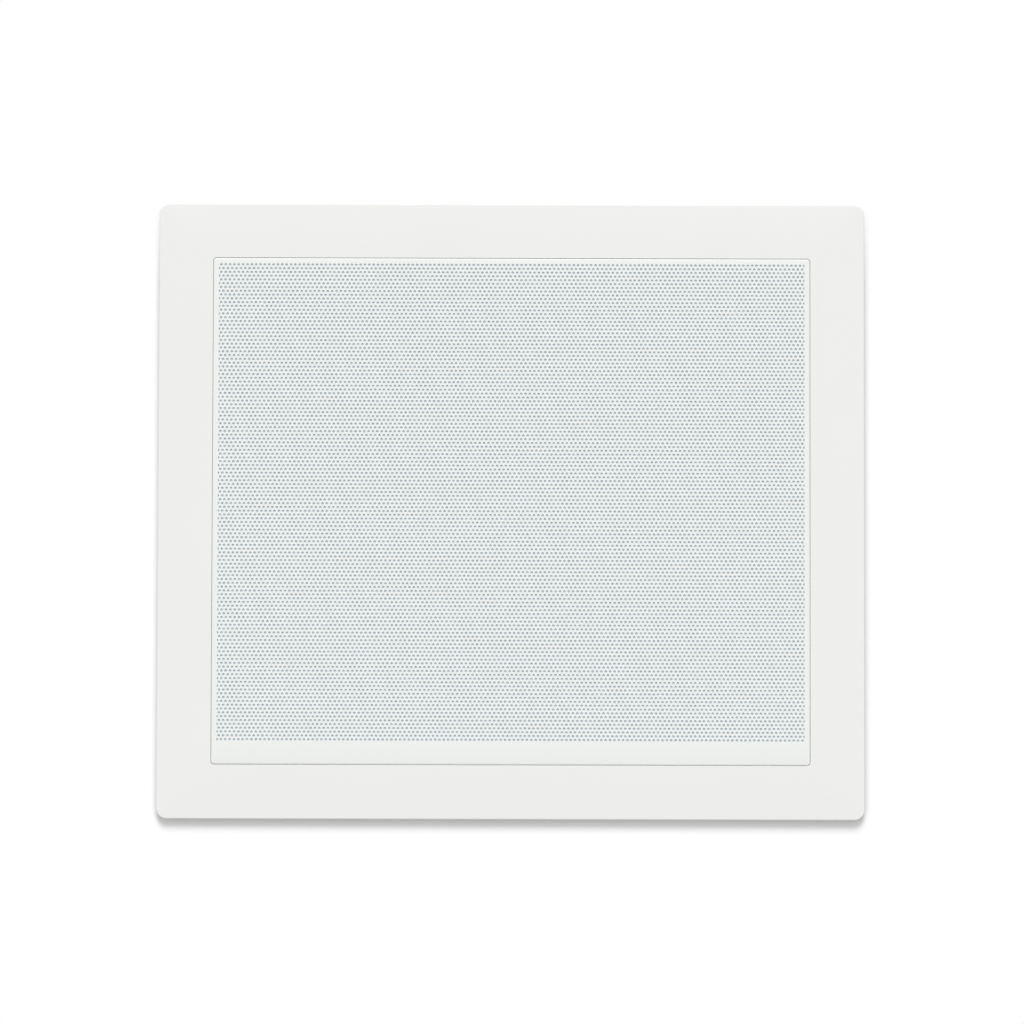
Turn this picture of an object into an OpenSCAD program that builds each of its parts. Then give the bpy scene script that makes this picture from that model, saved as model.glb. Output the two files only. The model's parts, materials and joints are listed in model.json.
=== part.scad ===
// Rectangular two-way ceiling speaker.
// The frame is modelled as it hangs: the front face looks down at z = 0, and the drivers stand
// up behind it, inside the ceiling. All lengths are in millimetres.

/* [Frame] */
// Width of the frame over its long side
frame_w = 405; // [395:1:430]
// Depth of the frame over its short side
frame_d = 353; // [348:1:380]
// Radius of the four corners in plan
frame_r = 6; // [4:0.5:9]
// Rounding along the front edge
edge_r = 0.6; // [0.4:0.1:1.2]
// Width of the plain border round the grille
border_w = 31; // [24:0.5:33]
// Height of the rim that meets the ceiling
rim_h = 5; // [4.4:0.2:6]
// Width of that rim
rim_w = 2.4; // [1.8:0.2:4]
// Wall of the moulding
wall_t = 2.8; // [2.4:0.2:3.2]
// Height of the neck over the ceiling's face, inside the cut-out
neck_h = 7; // [5:0.5:7.5]
// Thickness of the stiffening ribs
rib_t = 1.4; // [1:0.2:2]
// Spacing of the ribs under the border
rib_pitch = 26; // [18:1:40]

/* [Baffle] */
// Depth of the land that the grille stands on
land_z = 6; // [5:0.2:7]
// Width of the land at the left and right
land_x = 8.5; // [8:0.5:10]
// Width of the land at the top and bottom, where the clamps are
land_y = 16.5; // [16:0.5:18]
// Depth of the baffle's front face
baffle_z = 14; // [13:0.5:18]
// Thickness of the baffle
baffle_t = 4; // [3:0.5:5]
// Height of the ribs on the baffle's back
rib_h = 4; // [3:0.5:5]
// Height of the collars round the driver holes
collar_h = 6; // [4:0.5:7]

/* [Grille] */
// Clearance between grille and frame
grille_gap = 0.12; // [0.1:0.02:0.4]
// Thickness of the grille sheet
sheet_t = 0.8; // [0.6:0.1:1]
// Outer radius of the grille's folded edge
fold_r = 1.8; // [1.4:0.1:2.4]
// Distance between neighbouring holes in a row
hole_pitch = 2.5; // [2.4:0.05:2.6]
// Distance between rows
row_pitch = 2.18; // [2.1:0.01:2.24]
// Diameter of a hole
hole_d = 1.5; // [1:0.1:1.8]
// Rows of holes
hole_rows = 126; // [120:1:128]
// Holes in a row
hole_cols = 134; // [128:1:135]
// Plain margin between the fold and the first row
margin_first = 4; // [3:0.5:6]
// Each modelled hole stands for a block of this many by this many
hole_block = 7; // [6:1:9]
// Thickness of the cloth behind the grille
cloth_t = 0.4; // [0.2:0.1:0.6]
// Diameter of the grille's magnets
magnet_d = 6; // [4:0.5:6]
// Distance of the magnets from the opening's edge
magnet_inset = 4.8; // [4.6:0.1:5]
// Depth of the magnets' pockets in the land
magnet_pocket = 1; // [0.5:0.1:1.5]

/* [Woofer] */
// Thickness of the basket's sheet
basket_t = 1.6; // [1.2:0.1:1.8]
// Radius inside the flange, where the bowl begins
bowl_r = 90.5; // [89.5:0.5:91]
// Width of the flange round the bowl
flange_w = 12.5; // [11.5:0.5:13]
// Radius of the ledge that the spider is glued to
shelf_r = 58; // [56:0.5:60]
// Radius of the cup that carries the motor
cup_r = 48; // [46:0.5:50]
// Depth of the shelf behind the flange's front
shelf_u = 35; // [34:0.5:37]
// Depth of the bowl's floor
floor_u = 46; // [44:0.5:48]
// Number of windows in the bowl
windows = 6; // [4:1:8]
// Angle that each window covers
window_a = 42; // [30:1:44]
// Thickness of the gasket
gasket_t = 1; // [0.6:0.1:1.5]
// Radius of the cone's edge
cone_r = 80; // [78:0.5:80.5]
// Depth of the cone
cone_u = 26; // [24:0.5:27]
// Thickness of the cone
cone_t = 0.9; // [0.6:0.1:1.2]
// Radius of the surround's roll
roll_r = 4.5; // [4:0.1:4.6]
// Thickness of the surround
roll_t = 0.8; // [0.5:0.1:1]
// Radius of the dust cap
cap_r = 27; // [25:0.5:29]
// Height of the dust cap
cap_h = 8; // [6:0.5:9]
// Inner radius of the voice coil's former
coil_r = 18.9; // [18.7:0.05:19]
// Radius of the pole
pole_r = 18.5; // [17.5:0.1:18.5]
// Thickness of the plates
plate_t = 6; // [5:0.5:8]
// Radius of the plates
plate_r = 50; // [47:0.5:52]
// Radius of the ring magnet
magnet_r = 57; // [54:0.5:60]
// Height of the ring magnet
magnet_h = 17; // [14:0.5:20]
// Screws through the flange
woofer_screw_count = 8; // [4:1:8]

/* [Tweeter] */
// Radius of the faceplate
face_r = 47; // [46:0.5:48]
// Thickness of the faceplate
face_t = 3.5; // [3:0.1:4.5]
// Radius of the waveguide's mouth
mouth_r = 36; // [34:0.5:37]
// Radius of the waveguide's throat
throat_r = 16; // [15.8:0.1:17]
// Depth of the waveguide's body behind the baffle's front
body_v = 9.4; // [9:0.1:11]
// Radius of the body that stands in the baffle's hole
body_r = 37; // [37:0.1:38]
// Radius of the dome
dome_r = 12.7; // [12:0.1:13]
// Height of the dome
dome_h = 4.5; // [3.5:0.1:5]
// Gap between the two drivers' edges
driver_gap = 12; // [8:1:14]

/* [Crossover] */
// Length of the circuit board
board_w = 96; // [94:1:100]
// Width of the circuit board
board_d = 60; // [58:1:62]
// Height of the board's posts
post_h = 6; // [5.5:0.5:9]

/* [Clamps] */
// Distance of the clamp screws from the opening's corner, along the long side
clamp_inset_x = 51.5; // [48:0.5:60]
// Distance of the clamp screws from the opening's edge
clamp_inset_y = 7.5; // [7.5:0.1:8]
// Radius of the clamp screws
screw_r = 2; // [1.8:0.1:2.2]
// Reach of a clamp arm from its screw
arm_reach = 32; // [28:0.5:36]
// Width of a clamp arm
arm_w = 12; // [10:0.5:12.5]
// Height of a clamp arm at its hub
arm_h = 16; // [14:0.5:18]
// Travel of a clamp arm along its screw
arm_travel = 33; // [20:0.5:40]

/* [Safety bracket] */
// Radius of the eye for the safety wire
eye_r = 4; // [3:0.1:5]
// Height of the eye over the bracket's foot
eye_h = 18; // [16:0.5:22]

/* [Hidden] */
$fn = 96;

// Clearances
glue = 0.1;      // glued joints
seat = 0.3;      // pieces that rest on a slope
cut = 1;         // how far a cut runs past the face it opens
run = 0.08;      // turning fits

// Frame
opening_w = frame_w - 2 * border_w;
opening_d = frame_d - 2 * border_w;
opening_r = fold_r + grille_gap;
neck_top = rim_h + neck_h;
deck_w = opening_w - 2 * land_x;
deck_d = opening_d - 2 * land_y;
deck_r = 5;
land_back = land_z + wall_t;
rib_drop = 0.4;
deck_z = baffle_z + baffle_t;

// Grille
grille_w = opening_w - 2 * grille_gap;
grille_d = opening_d - 2 * grille_gap;
field_w = (hole_cols + 0.5) * hole_pitch;
field_d = (hole_rows - 1) * row_pitch;
field_y = -grille_d / 2 + margin_first;
magnet_x = opening_w / 2 - magnet_inset;
magnet_y = opening_d / 2 - magnet_inset;
magnet_z = sheet_t + cloth_t;
magnet_spots = [for (s = [-1, 1], p = [-1, 1]) each [[s * magnet_x, p * 88], [p * 62, s * magnet_y]]];

// Woofer
basket_r = bowl_r + flange_w;
woofer_x = -deck_w / 2 + wall_t + 3 + basket_r;
woofer_z = baffle_z - gasket_t - basket_t;
woofer_hole_r = bowl_r + 2.5;
woofer_screw_r = basket_r - 4.4;
coil_t = 0.4;
wire_t = 0.5;
former_r = coil_r + coil_t;
winding_r = former_r + glue / 2 + wire_t;
plate_u = floor_u + basket_t;
ferrite_u = plate_u + plate_t;
yoke_u = ferrite_u + magnet_h;
gap_r = winding_r + 0.5;
coil_len = 13;
coil_u = plate_u + plate_t / 2 - coil_len / 2;
collar_t = 2.5;
strip_t = 1.6;
tab_u = 24;
tab_l = 17;
tab_w = 20;
tab_r = (bowl_r - 2 + shelf_r) / 2 - 1;
woofer_screw_angles = [for (i = [0 : woofer_screw_count - 1]) (i + 0.5) * 360 / woofer_screw_count];

// Tweeter
tweeter_x = woofer_x + basket_r + driver_gap + face_r;
mid_x = woofer_x + basket_r + driver_gap / 2;
tweeter_hole_r = body_r + 1.5;
tweeter_screw_r = face_r - 4.5;
diaphragm_t = 0.4;
tweeter_plate_v = body_v + diaphragm_t + glue;
tweeter_plate_t = 3.5;
tweeter_plate_r = 32;
tweeter_magnet_h = 8;
tweeter_magnet_v = tweeter_plate_v + tweeter_plate_t;
tweeter_yoke_v = tweeter_magnet_v + tweeter_magnet_h;
tweeter_pole_r = dome_r - 0.9;
tweeter_gap_r = dome_r + 0.5;

// Crossover
board_t = 1.6;
board_x = deck_w / 2 - 6 - board_w / 2;
board_y = deck_d / 2 - 6 - board_d / 2;
board_z = deck_z + post_h;
board_top = board_z + board_t;
board_holes = [for (x = [-1, 1], y = [-1, 1]) [x * (board_w / 2 - 4), y * (board_d / 2 - 4)]];
block_d = 20;
block_pitch = 10;

// Clamps
clamp_x = opening_w / 2 - clamp_inset_x;
clamp_y = opening_d / 2 - clamp_inset_y;
clamp_spots = [[clamp_x, clamp_y, 0], [-clamp_x, clamp_y, 0], [-clamp_x, -clamp_y, 180], [clamp_x, -clamp_y, 180]];
hub_r = arm_w / 2;
arm_low = neck_top + 1;
arm_z = arm_low + arm_travel;
clip_z = arm_z + arm_h + 1;
clip_t = 1;
shank_top = clip_z + clip_t + 1.5;
head_r = 4;
head_h = 2.4;
tower_t = 2.2;
tower_in = arm_w / 2 + 0.35;

// Safety bracket
bracket_t = 1.5;
bracket_w = 18;
bracket_l = 24;
bracket_x = tweeter_x + 6;
bracket_y = -(deck_d / 2 - 34);
pad_h = rib_h + 0.5;
bracket_z = deck_z + pad_h;

// Leads
lead_r = 1;
lead_z = board_top + 1.8;

// Plan outline with four equal corners
module plan(w, d, r) {
    square([w - 2 * r, d], center = true);
    square([w, d - 2 * r], center = true);
    for (x = [-1, 1], y = [-1, 1]) translate([x * (w / 2 - r), y * (d / 2 - r)]) circle(r);
}

// Section of a slab's edge: straight at the back and rounded at the front, which is y = 0
module edge_section(r, h, e) {
    translate([0, e]) square([r, h - e]);
    if (r > e) square([r - e, h]);
    intersection() {
        translate([r - e, e]) circle(e);
        translate([r - e, 0]) square(e);
    }
}

// Slab with corners of radius r, its front edge rounded by e all the way round
module slab(w, d, h, r, e) {
    for (a = [0 : 3]) {
        long = a % 2 == 0 ? w : d;
        wide = a % 2 == 0 ? d : w;
        rotate(a * 90) {
            translate([long / 2 - r, wide / 2 - r, 0]) rotate_extrude(angle = 90) edge_section(r, h, e);
            translate([-long / 2 + r, wide / 2 - r, 0]) rotate([90, 0, 90])
                linear_extrude(long - 2 * r) edge_section(r, h, e);
        }
    }
    translate([-w / 2 + r, -d / 2 + r, 0]) cube([w - 2 * r, d - 2 * r, h]);
}

// Ring of height h between two radii
module ring(outer, inner, h) {
    difference() {
        cylinder(r = outer, h = h);
        translate([0, 0, -cut]) cylinder(r = inner, h = h + 2 * cut);
    }
}

// Screw with a pan head: the head's face is at z = 0 and looks down, the shank goes up
module pan_screw(r, head, tall, long) {
    difference() {
        union() {
            translate([0, 0, -tall]) cylinder(r1 = head * 0.7, r2 = head, h = tall * 0.5);
            translate([0, 0, -tall * 0.5]) cylinder(r = head, h = tall * 0.5);
            translate([0, 0, -cut / 2]) cylinder(r = r, h = long + cut / 2);
        }
        for (a = [0, 90]) rotate(a) translate([-head * 0.45, -head * 0.11, -tall - cut])
            cube([head * 0.9, head * 0.22, cut + tall * 0.55]);
    }
}

module at_woofer() translate([woofer_x, 0, woofer_z]) children();
module at_tweeter() translate([tweeter_x, 0, baffle_z]) children();
module at_board() translate([board_x, board_y, board_top]) children();
module at_clamp(i) translate([clamp_spots[i].x, clamp_spots[i].y, 0]) rotate(clamp_spots[i].z) children();

// Frame

// Ribs along the two sides that run in X, a little lower than the rim
module border_ribs(long, wide) {
    count = floor((long / 2 - border_w) / rib_pitch);
    for (s = [-1, 1], i = [-count : count])
        translate([i * rib_pitch - rib_t / 2, s * (wide / 2 - border_w / 2) - border_w / 2 + rim_w / 2, wall_t / 2])
            cube([rib_t, border_w - rim_w, rim_h - rib_drop - wall_t / 2]);
}

// Ribs that fan out from a driver's hole over the baffle, between two places in X
module fan(centre_x, r, count, turn, low_x, high_x) {
    intersection() {
        translate([centre_x, 0, deck_z - cut]) for (i = [0 : count - 1]) rotate(turn + i * 360 / count)
            translate([r, -rib_t / 2, 0]) cube([frame_w, rib_t, rib_h + cut]);
        translate([low_x, -deck_d / 2 + 1, 0]) cube([high_x - low_x, deck_d - 2, frame_d]);
    }
}

// Outline of the neck's outer wall
module neck_plan() plan(opening_w + 2 * wall_t, opening_d + 2 * wall_t, opening_r + wall_t);

// A plate with a rim at the outside, stiffened by ribs
module border() {
    difference() {
        slab(frame_w, frame_d, rim_h, frame_r, edge_r);
        translate([0, 0, wall_t]) linear_extrude(rim_h) plan(frame_w - 2 * rim_w, frame_d - 2 * rim_w, frame_r - rim_w);
    }
    border_ribs(frame_w, frame_d);
    rotate(90) border_ribs(frame_d, frame_w);
}

// The border and the wall round the opening. They, the neck, the baffle, the tower walls and the stops
// are one moulding. They are separate nodes, because each then has a simple shape for collision.
module mounting_frame() {
    color("whitesmoke") difference() {
        union() {
            border();
            linear_extrude(rim_h) neck_plan();
        }
        translate([0, 0, -cut]) linear_extrude(rim_h + 2 * cut) plan(opening_w, opening_d, opening_r);
    }
}

// Neck that stands in the ceiling's cut-out, with the land that the grille and the baffle meet
module neck() {
    color("whitesmoke") difference() {
        union() {
            difference() {
                translate([0, 0, rim_h]) linear_extrude(neck_h) neck_plan();
                linear_extrude(land_z) plan(opening_w, opening_d, opening_r);
                translate([0, 0, land_back]) linear_extrude(neck_top) plan(opening_w, opening_d, opening_r);
                linear_extrude(neck_top) plan(deck_w - 2 * wall_t, deck_d - 2 * wall_t, deck_r - wall_t);
            }
            for (i = [0 : 3]) at_clamp(i) translate([0, 0, land_back - wall_t / 2])
                cylinder(r = head_r + 1.5, h = neck_top - land_back + wall_t / 2);
        }
        for (i = [0 : 3]) at_clamp(i) cylinder(r = screw_r + run, h = neck_top + cut);
        for (p = magnet_spots) translate([p.x, p.y, 0]) cylinder(r = magnet_d / 2 + glue / 2, h = land_z + magnet_pocket);
    }
}

// Raised pan that carries the drivers, the crossover and the bracket. Its walls stand on the land.
module baffle() {
    color("whitesmoke") difference() {
        union() {
            difference() {
                translate([0, 0, land_back]) linear_extrude(deck_z - land_back) plan(deck_w, deck_d, deck_r);
                linear_extrude(baffle_z) plan(deck_w - 2 * wall_t, deck_d - 2 * wall_t, deck_r - wall_t);
            }
            fan(woofer_x, woofer_hole_r + 1, 16, 11.25, -deck_w / 2 + 1, mid_x - rib_t / 2);
            fan(tweeter_x, tweeter_hole_r + 1, 12, 15, mid_x + rib_t / 2, deck_w / 2 - 1);
            translate([mid_x - rib_t, -deck_d / 2 + 1, deck_z - cut]) cube([2 * rib_t, deck_d - 2, pad_h + cut]);
            translate([woofer_x, 0, deck_z - cut]) cylinder(r = woofer_hole_r + collar_t, h = collar_h + cut);
            translate([tweeter_x, 0, deck_z - cut]) cylinder(r = tweeter_hole_r + collar_t, h = collar_h + cut);
            translate([woofer_x, 0, deck_z - cut]) for (a = woofer_screw_angles) rotate(a)
                translate([woofer_screw_r, 0, 0]) cylinder(r = 4, h = rib_h + 0.5 + cut);
            translate([board_x, board_y, deck_z - cut]) for (p = board_holes)
                translate(p) cylinder(r = 4, h = post_h + cut);
            translate([bracket_x - bracket_w / 2 - 2, bracket_y - bracket_l / 2 - 2, deck_z - cut])
                cube([bracket_w + 4, bracket_l + 4, pad_h + cut]);
        }
        translate([woofer_x, 0, 0]) cylinder(r = woofer_hole_r, h = frame_d);
        translate([tweeter_x, 0, 0]) cylinder(r = tweeter_hole_r, h = frame_d);
        at_woofer() for (a = woofer_screw_angles) rotate(a)
            translate([woofer_screw_r, 0, 0]) cylinder(r = 1.6, h = baffle_z);
        at_tweeter() for (a = [45 : 90 : 315]) rotate(a)
            translate([tweeter_screw_r, 0, -cut]) cylinder(r = 1.4, h = baffle_z);
        translate([board_x, board_y, deck_z]) for (p = board_holes) translate(p) cylinder(r = 1.2, h = post_h + cut);
        translate([bracket_x, bracket_y, deck_z - 2]) rotate(90) for (x = [-1, 1])
            translate([x * 7, -4, 0]) cylinder(r = 1.4, h = pad_h + 3);
    }
}

// Wall that each clamp arm lies along when it is tucked in, wider at its foot
module tower_walls() {
    long = tower_in + tower_t + hub_r + 4;
    high = clip_z - land_back;
    color("whitesmoke") for (i = [0 : 3]) at_clamp(i) translate([-tower_in - tower_t, -tower_in, land_back])
        rotate([90, 0, 0]) linear_extrude(tower_t) polygon([[0, 0], [long + 8, 0], [long, high], [0, high]]);
}

// Wall that stops each arm once it has swung out
module tower_stops() {
    color("whitesmoke") for (i = [0 : 3]) at_clamp(i) translate([-tower_in - tower_t, -tower_in, land_back])
        cube([tower_t, tower_in + hub_r - 1, clip_z - land_back]);
}

// Grille

// Holes of the perforated field, in staggered rows
module perforation() {
    step_x = hole_pitch * hole_block;
    step_y = row_pitch * hole_block;
    cols = floor(field_w / step_x);
    rows = floor(field_d / step_y);
    for (j = [0 : rows - 1], i = [0 : cols - 1])
        translate([(i - (cols - 0.5) / 2 + (j % 2) / 2) * step_x, field_y + field_d / 2 + (j - (rows - 1) / 2) * step_y])
            circle(d = hole_d * hole_block, $fn = 6);
}

module grille() {
    color("white") difference() {
        slab(grille_w, grille_d, land_z, fold_r, fold_r);
        translate([0, 0, sheet_t]) slab(grille_w - 2 * sheet_t, grille_d - 2 * sheet_t, land_z,
            fold_r - sheet_t, fold_r - sheet_t);
        translate([0, 0, -cut]) linear_extrude(sheet_t + 2 * cut) perforation();
    }
}

module grille_cloth() {
    color("lightsteelblue") translate([0, 0, sheet_t]) linear_extrude(cloth_t)
        plan(grille_w - 2 * fold_r - 1, grille_d - 2 * fold_r - 1, 1);
}

module grille_magnets() {
    color("silver") for (p = magnet_spots) translate([p.x, p.y, magnet_z])
        cylinder(d = magnet_d, h = land_z + magnet_pocket - magnet_z);
}

// Woofer: u runs from the flange's front towards the magnet

module woofer_gasket() {
    color("dimgray") at_woofer() translate([0, 0, basket_t]) difference() {
        ring(basket_r, woofer_hole_r, gasket_t);
        for (a = woofer_screw_angles) rotate(a) translate([woofer_screw_r, 0, -cut]) cylinder(r = 2, h = gasket_t + 2 * cut);
    }
}

module woofer_basket() {
    t = basket_t;
    wall_u = 13;
    color("dimgray") at_woofer() difference() {
        union() {
        rotate_extrude() polygon([
            [bowl_r, 0], [basket_r, 0], [basket_r, t], [bowl_r + t, t], [bowl_r - 2 + t, wall_u + t * 0.4],
            [shelf_r + t * 0.6, shelf_u + t], [cup_r + t, shelf_u + t], [cup_r + t, plate_u],
            [gap_r + 2, plate_u], [gap_r + 2, floor_u], [cup_r, floor_u], [cup_r, shelf_u],
            [shelf_r - t * 0.4, shelf_u], [bowl_r - 2, wall_u]
        ]);
        translate([tab_r, -tab_w / 2, tab_u]) cube([tab_l, tab_w, t]);
        }
        for (i = [0 : windows - 1]) rotate((i + 0.5) * 360 / windows - window_a / 2) rotate_extrude(angle = window_a)
            translate([shelf_r - 6, wall_u + 3]) square([bowl_r, shelf_u - wall_u - 5]);
        for (a = woofer_screw_angles) rotate(a) translate([woofer_screw_r, 0, -cut]) cylinder(r = 2, h = t + 2 * cut);
    }
}

module woofer_surround() {
    roll_x = cone_r + 1 + roll_r;
    lip = woofer_screw_r - 3.6 - roll_x - roll_r;
    color([0.12, 0.12, 0.13]) at_woofer() rotate_extrude() {
        difference() {
            translate([roll_x, 0]) circle(roll_r + roll_t / 2);
            translate([roll_x, 0]) circle(roll_r - roll_t / 2);
            translate([roll_x - basket_r, 0]) square([2 * basket_r, basket_r]);
        }
        translate([roll_x + roll_r - roll_t / 2, -roll_t]) square([lip + roll_t / 2, roll_t]);
        translate([roll_x - roll_r - 4, -roll_t]) square([4 + roll_t / 2, roll_t]);
    }
}

// Depth of the cone's front at radius r: a shallow flare
function flare(r) = cone_t * 0 + cone_u * pow((cone_r - 2 - r) / (cone_r - 2 - former_r), 1.15);

module woofer_cone() {
    steps = 8;
    inner = former_r + glue;
    radii = [for (i = [0 : steps]) inner + (cone_r - 3 - inner) * i / steps];
    color([0.16, 0.16, 0.17]) at_woofer() rotate_extrude() polygon(concat(
        [for (r = radii) [r, flare(r)]],
        [[cone_r, glue], [cone_r, cone_t + glue]],
        [for (i = [steps : -1 : 0]) [radii[i], flare(radii[i]) + cone_t * 1.25]]
    ));
}

module woofer_dust_cap() {
    base = flare(cap_r) - seat;
    sphere_r = (cap_r * cap_r + cap_h * cap_h) / (2 * cap_h);
    color([0.1, 0.1, 0.11]) at_woofer() rotate_extrude() intersection() {
        translate([0, base - cap_h + sphere_r]) difference() {
            circle(sphere_r);
            circle(sphere_r - 0.8);
        }
        translate([0, base - cap_h - cut]) square([cap_r + 1, cap_h + cut]);
    }
}

module woofer_spider() {
    waves = 5;
    low = former_r + 3;
    high = shelf_r - 7;
    wave = (high - low) / waves;
    t = 0.5;
    swing = 1.6;
    level = shelf_u - t - glue;
    front = concat(
        [[former_r + glue, level - 3], [former_r + 1.2, level - 3], [former_r + 1.2, level]],
        [for (i = [0 : waves - 1]) each [
            [low + wave * i, level], [low + wave * (i + 0.2), level - swing],
            [low + wave * (i + 0.45), level - swing], [low + wave * (i + 0.65), level]
        ]],
        [[high, level], [shelf_r - 1, level]]
    );
    color("goldenrod") at_woofer() rotate_extrude() polygon(concat(
        front,
        [for (i = [len(front) - 1 : -1 : 2]) [front[i].x, front[i].y + t]],
        [[former_r + glue, level + t]]
    ));
}

module voice_coil_former() {
    color("silver") at_woofer() translate([0, 0, cone_u - 2]) ring(former_r, coil_r, coil_u + coil_len - cone_u + 2);
}

module voice_coil_winding() {
    color("peru") at_woofer() translate([0, 0, coil_u]) ring(winding_r, former_r + glue / 2, coil_len - 0.5);
}

module woofer_top_plate() {
    color("darkgray") at_woofer() translate([0, 0, plate_u]) ring(plate_r, gap_r, plate_t);
}

module woofer_magnet() {
    bevel = 1.5;
    inner = 30;
    color([0.2, 0.2, 0.2]) at_woofer() translate([0, 0, ferrite_u]) rotate_extrude() polygon([
        [inner, 0], [magnet_r - bevel, 0], [magnet_r, bevel], [magnet_r, magnet_h - bevel],
        [magnet_r - bevel, magnet_h], [inner, magnet_h]
    ]);
}

module woofer_yoke() {
    bevel = 2;
    vent_r = 6;
    color("darkgray") at_woofer() rotate_extrude() polygon([
        [vent_r, plate_u], [pole_r - 1, plate_u], [pole_r, plate_u + 1], [pole_r, yoke_u], [plate_r, yoke_u],
        [plate_r, yoke_u + plate_t - bevel], [plate_r - bevel, yoke_u + plate_t], [vent_r + 3, yoke_u + plate_t],
        [vent_r, yoke_u + plate_t - 3]
    ]);
}

module woofer_terminal_strip() {
    color("saddlebrown") at_woofer() translate([tab_r + 4, -9, tab_u + basket_t + glue]) cube([tab_l - 5, 18, strip_t]);
}

// Solder tag that stands on a strip: a foot and a blade
module tag() {
    translate([-2, -1.5, 0]) cube([3.4, 3, 0.5]);
    translate([0, -1.5, 0]) cube([0.8, 3, 6]);
}

module woofer_terminals() {
    color("gold") at_woofer() for (s = [-1, 1])
        translate([tab_r + tab_l - 4, s * 5, tab_u + basket_t + strip_t + 2 * glue]) tag();
}

module woofer_screws() {
    color("gray") at_woofer() for (a = woofer_screw_angles) rotate(a)
        translate([woofer_screw_r, 0, 0]) pan_screw(1.6 - glue, 3.1, 2.2, baffle_t + gasket_t + basket_t + 2);
}

// Tweeter: v runs from the baffle's front towards the magnet

module tweeter_faceplate() {
    steps = 8;
    shell = 2.4;
    horn = [for (i = [0 : steps]) let (s = i / steps)
        [mouth_r + (throat_r - mouth_r) * s, -face_t + (body_v + face_t) * (1 - cos(90 * s)) * 0.92]];
    color([0.13, 0.13, 0.14]) at_tweeter() difference() {
        rotate_extrude() polygon(concat(
            [[face_r, -face_t + 0.8], [face_r, 0], [body_r, 0], [body_r, body_v], [body_r - shell, body_v], [body_r - shell, 1]],
            [for (i = [2 : steps]) [horn[i].x + shell * 0.75, min(horn[i].y + shell, body_v)]],
            [[throat_r, body_v]],
            [for (i = [steps : -1 : 0]) horn[i]],
            [[face_r - 0.8, -face_t]]
        ));
        for (a = [45 : 90 : 315]) rotate(a) translate([tweeter_screw_r, 0, -face_t - cut]) cylinder(r = 1.7, h = face_t + 2 * cut);
    }
}

module tweeter_dome() {
    t = diaphragm_t;
    rim = 22;
    roll = (throat_r - dome_r - 0.2) / 2;
    sphere_r = (dome_r * dome_r + dome_h * dome_h) / (2 * dome_h);
    color("black") at_tweeter() translate([0, 0, body_v + glue / 2]) rotate_extrude() {
        intersection() {
            translate([0, sphere_r - dome_h]) difference() {
                circle(sphere_r);
                circle(sphere_r - t);
            }
            translate([0, -dome_h - cut]) square([dome_r, dome_h + cut + t]);
        }
        difference() {
            translate([dome_r + roll - t / 2, 0]) circle(roll);
            translate([dome_r + roll - t / 2, 0]) circle(roll - t);
            translate([0, 0]) square([2 * rim, rim]);
        }
        translate([dome_r + 2 * roll - t, 0]) square([rim - dome_r - 2 * roll + t, t]);
        translate([dome_r - t, -t / 2]) square([t, 5.5]);
    }
}

module tweeter_top_plate() {
    color("darkgray") at_tweeter() translate([0, 0, tweeter_plate_v]) ring(tweeter_plate_r, tweeter_gap_r, tweeter_plate_t);
}

module tweeter_magnet() {
    bevel = 1;
    color([0.2, 0.2, 0.2]) at_tweeter() translate([0, 0, tweeter_magnet_v]) rotate_extrude() polygon([
        [17, 0], [34 - bevel, 0], [34, bevel], [34, tweeter_magnet_h - bevel], [34 - bevel, tweeter_magnet_h],
        [17, tweeter_magnet_h]
    ]);
}

module tweeter_yoke() {
    bevel = 1.2;
    back = tweeter_yoke_v + tweeter_plate_t;
    color("darkgray") at_tweeter() rotate_extrude() polygon([
        [0, tweeter_plate_v + 0.3], [tweeter_pole_r, tweeter_plate_v + 0.3], [tweeter_pole_r, tweeter_yoke_v],
        [31, tweeter_yoke_v], [31, back - bevel], [31 - bevel, back], [0, back]
    ]);
}

module tweeter_terminal_strip() {
    color("saddlebrown") at_tweeter() translate([-9, tweeter_plate_r + glue, tweeter_plate_v + 0.5]) cube([18, 4.6, strip_t]);
}

module tweeter_terminals() {
    color("gold") at_tweeter() for (s = [-1, 1])
        translate([s * 5, tweeter_plate_r + 3.2, tweeter_plate_v + 0.5 + strip_t + glue]) rotate(90) tag();
}

module tweeter_screws() {
    color("gray") at_tweeter() for (a = [45 : 90 : 315]) rotate(a)
        translate([tweeter_screw_r, 0, -face_t]) pan_screw(1.4 - glue, 2.6, 1.8, baffle_t + face_t - 0.5);
}

// Crossover

module crossover_board() {
    color("darkgreen") at_board() translate([0, 0, -board_t]) linear_extrude(board_t) difference() {
        plan(board_w, board_d, 2);
        for (p = board_holes) translate(p) circle(1.6);
    }
}

// Bobbin with two flanges, standing on z = 0
module bobbin(r, h, core) {
    flange = 1.2;
    difference() {
        union() {
            cylinder(r = r, h = flange);
            cylinder(r = core, h = h);
            translate([0, 0, h - flange]) cylinder(r = r, h = flange);
        }
        translate([0, 0, -cut]) cylinder(r = core - 1.5, h = h + 2 * cut);
    }
}

// Coil of wire that fills such a bobbin
module winding(r, h, core) {
    translate([0, 0, 1.2 + glue]) ring(r - 1.5, core + glue, h - 2.4 - 2 * glue);
}

module at_woofer_inductor() at_board() translate([-23, -4, glue]) children();
module at_tweeter_inductor() at_board() translate([2, 25, 12 + glue]) rotate([90, 0, 0]) children();

module woofer_inductor_bobbin() color("black") at_woofer_inductor() bobbin(16, 18, 8);
module woofer_inductor_winding() color("peru") at_woofer_inductor() winding(16, 18, 8);
module tweeter_inductor_bobbin() color("black") at_tweeter_inductor() bobbin(12, 14, 5);
module tweeter_inductor_winding() color("peru") at_tweeter_inductor() winding(12, 14, 5);

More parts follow.
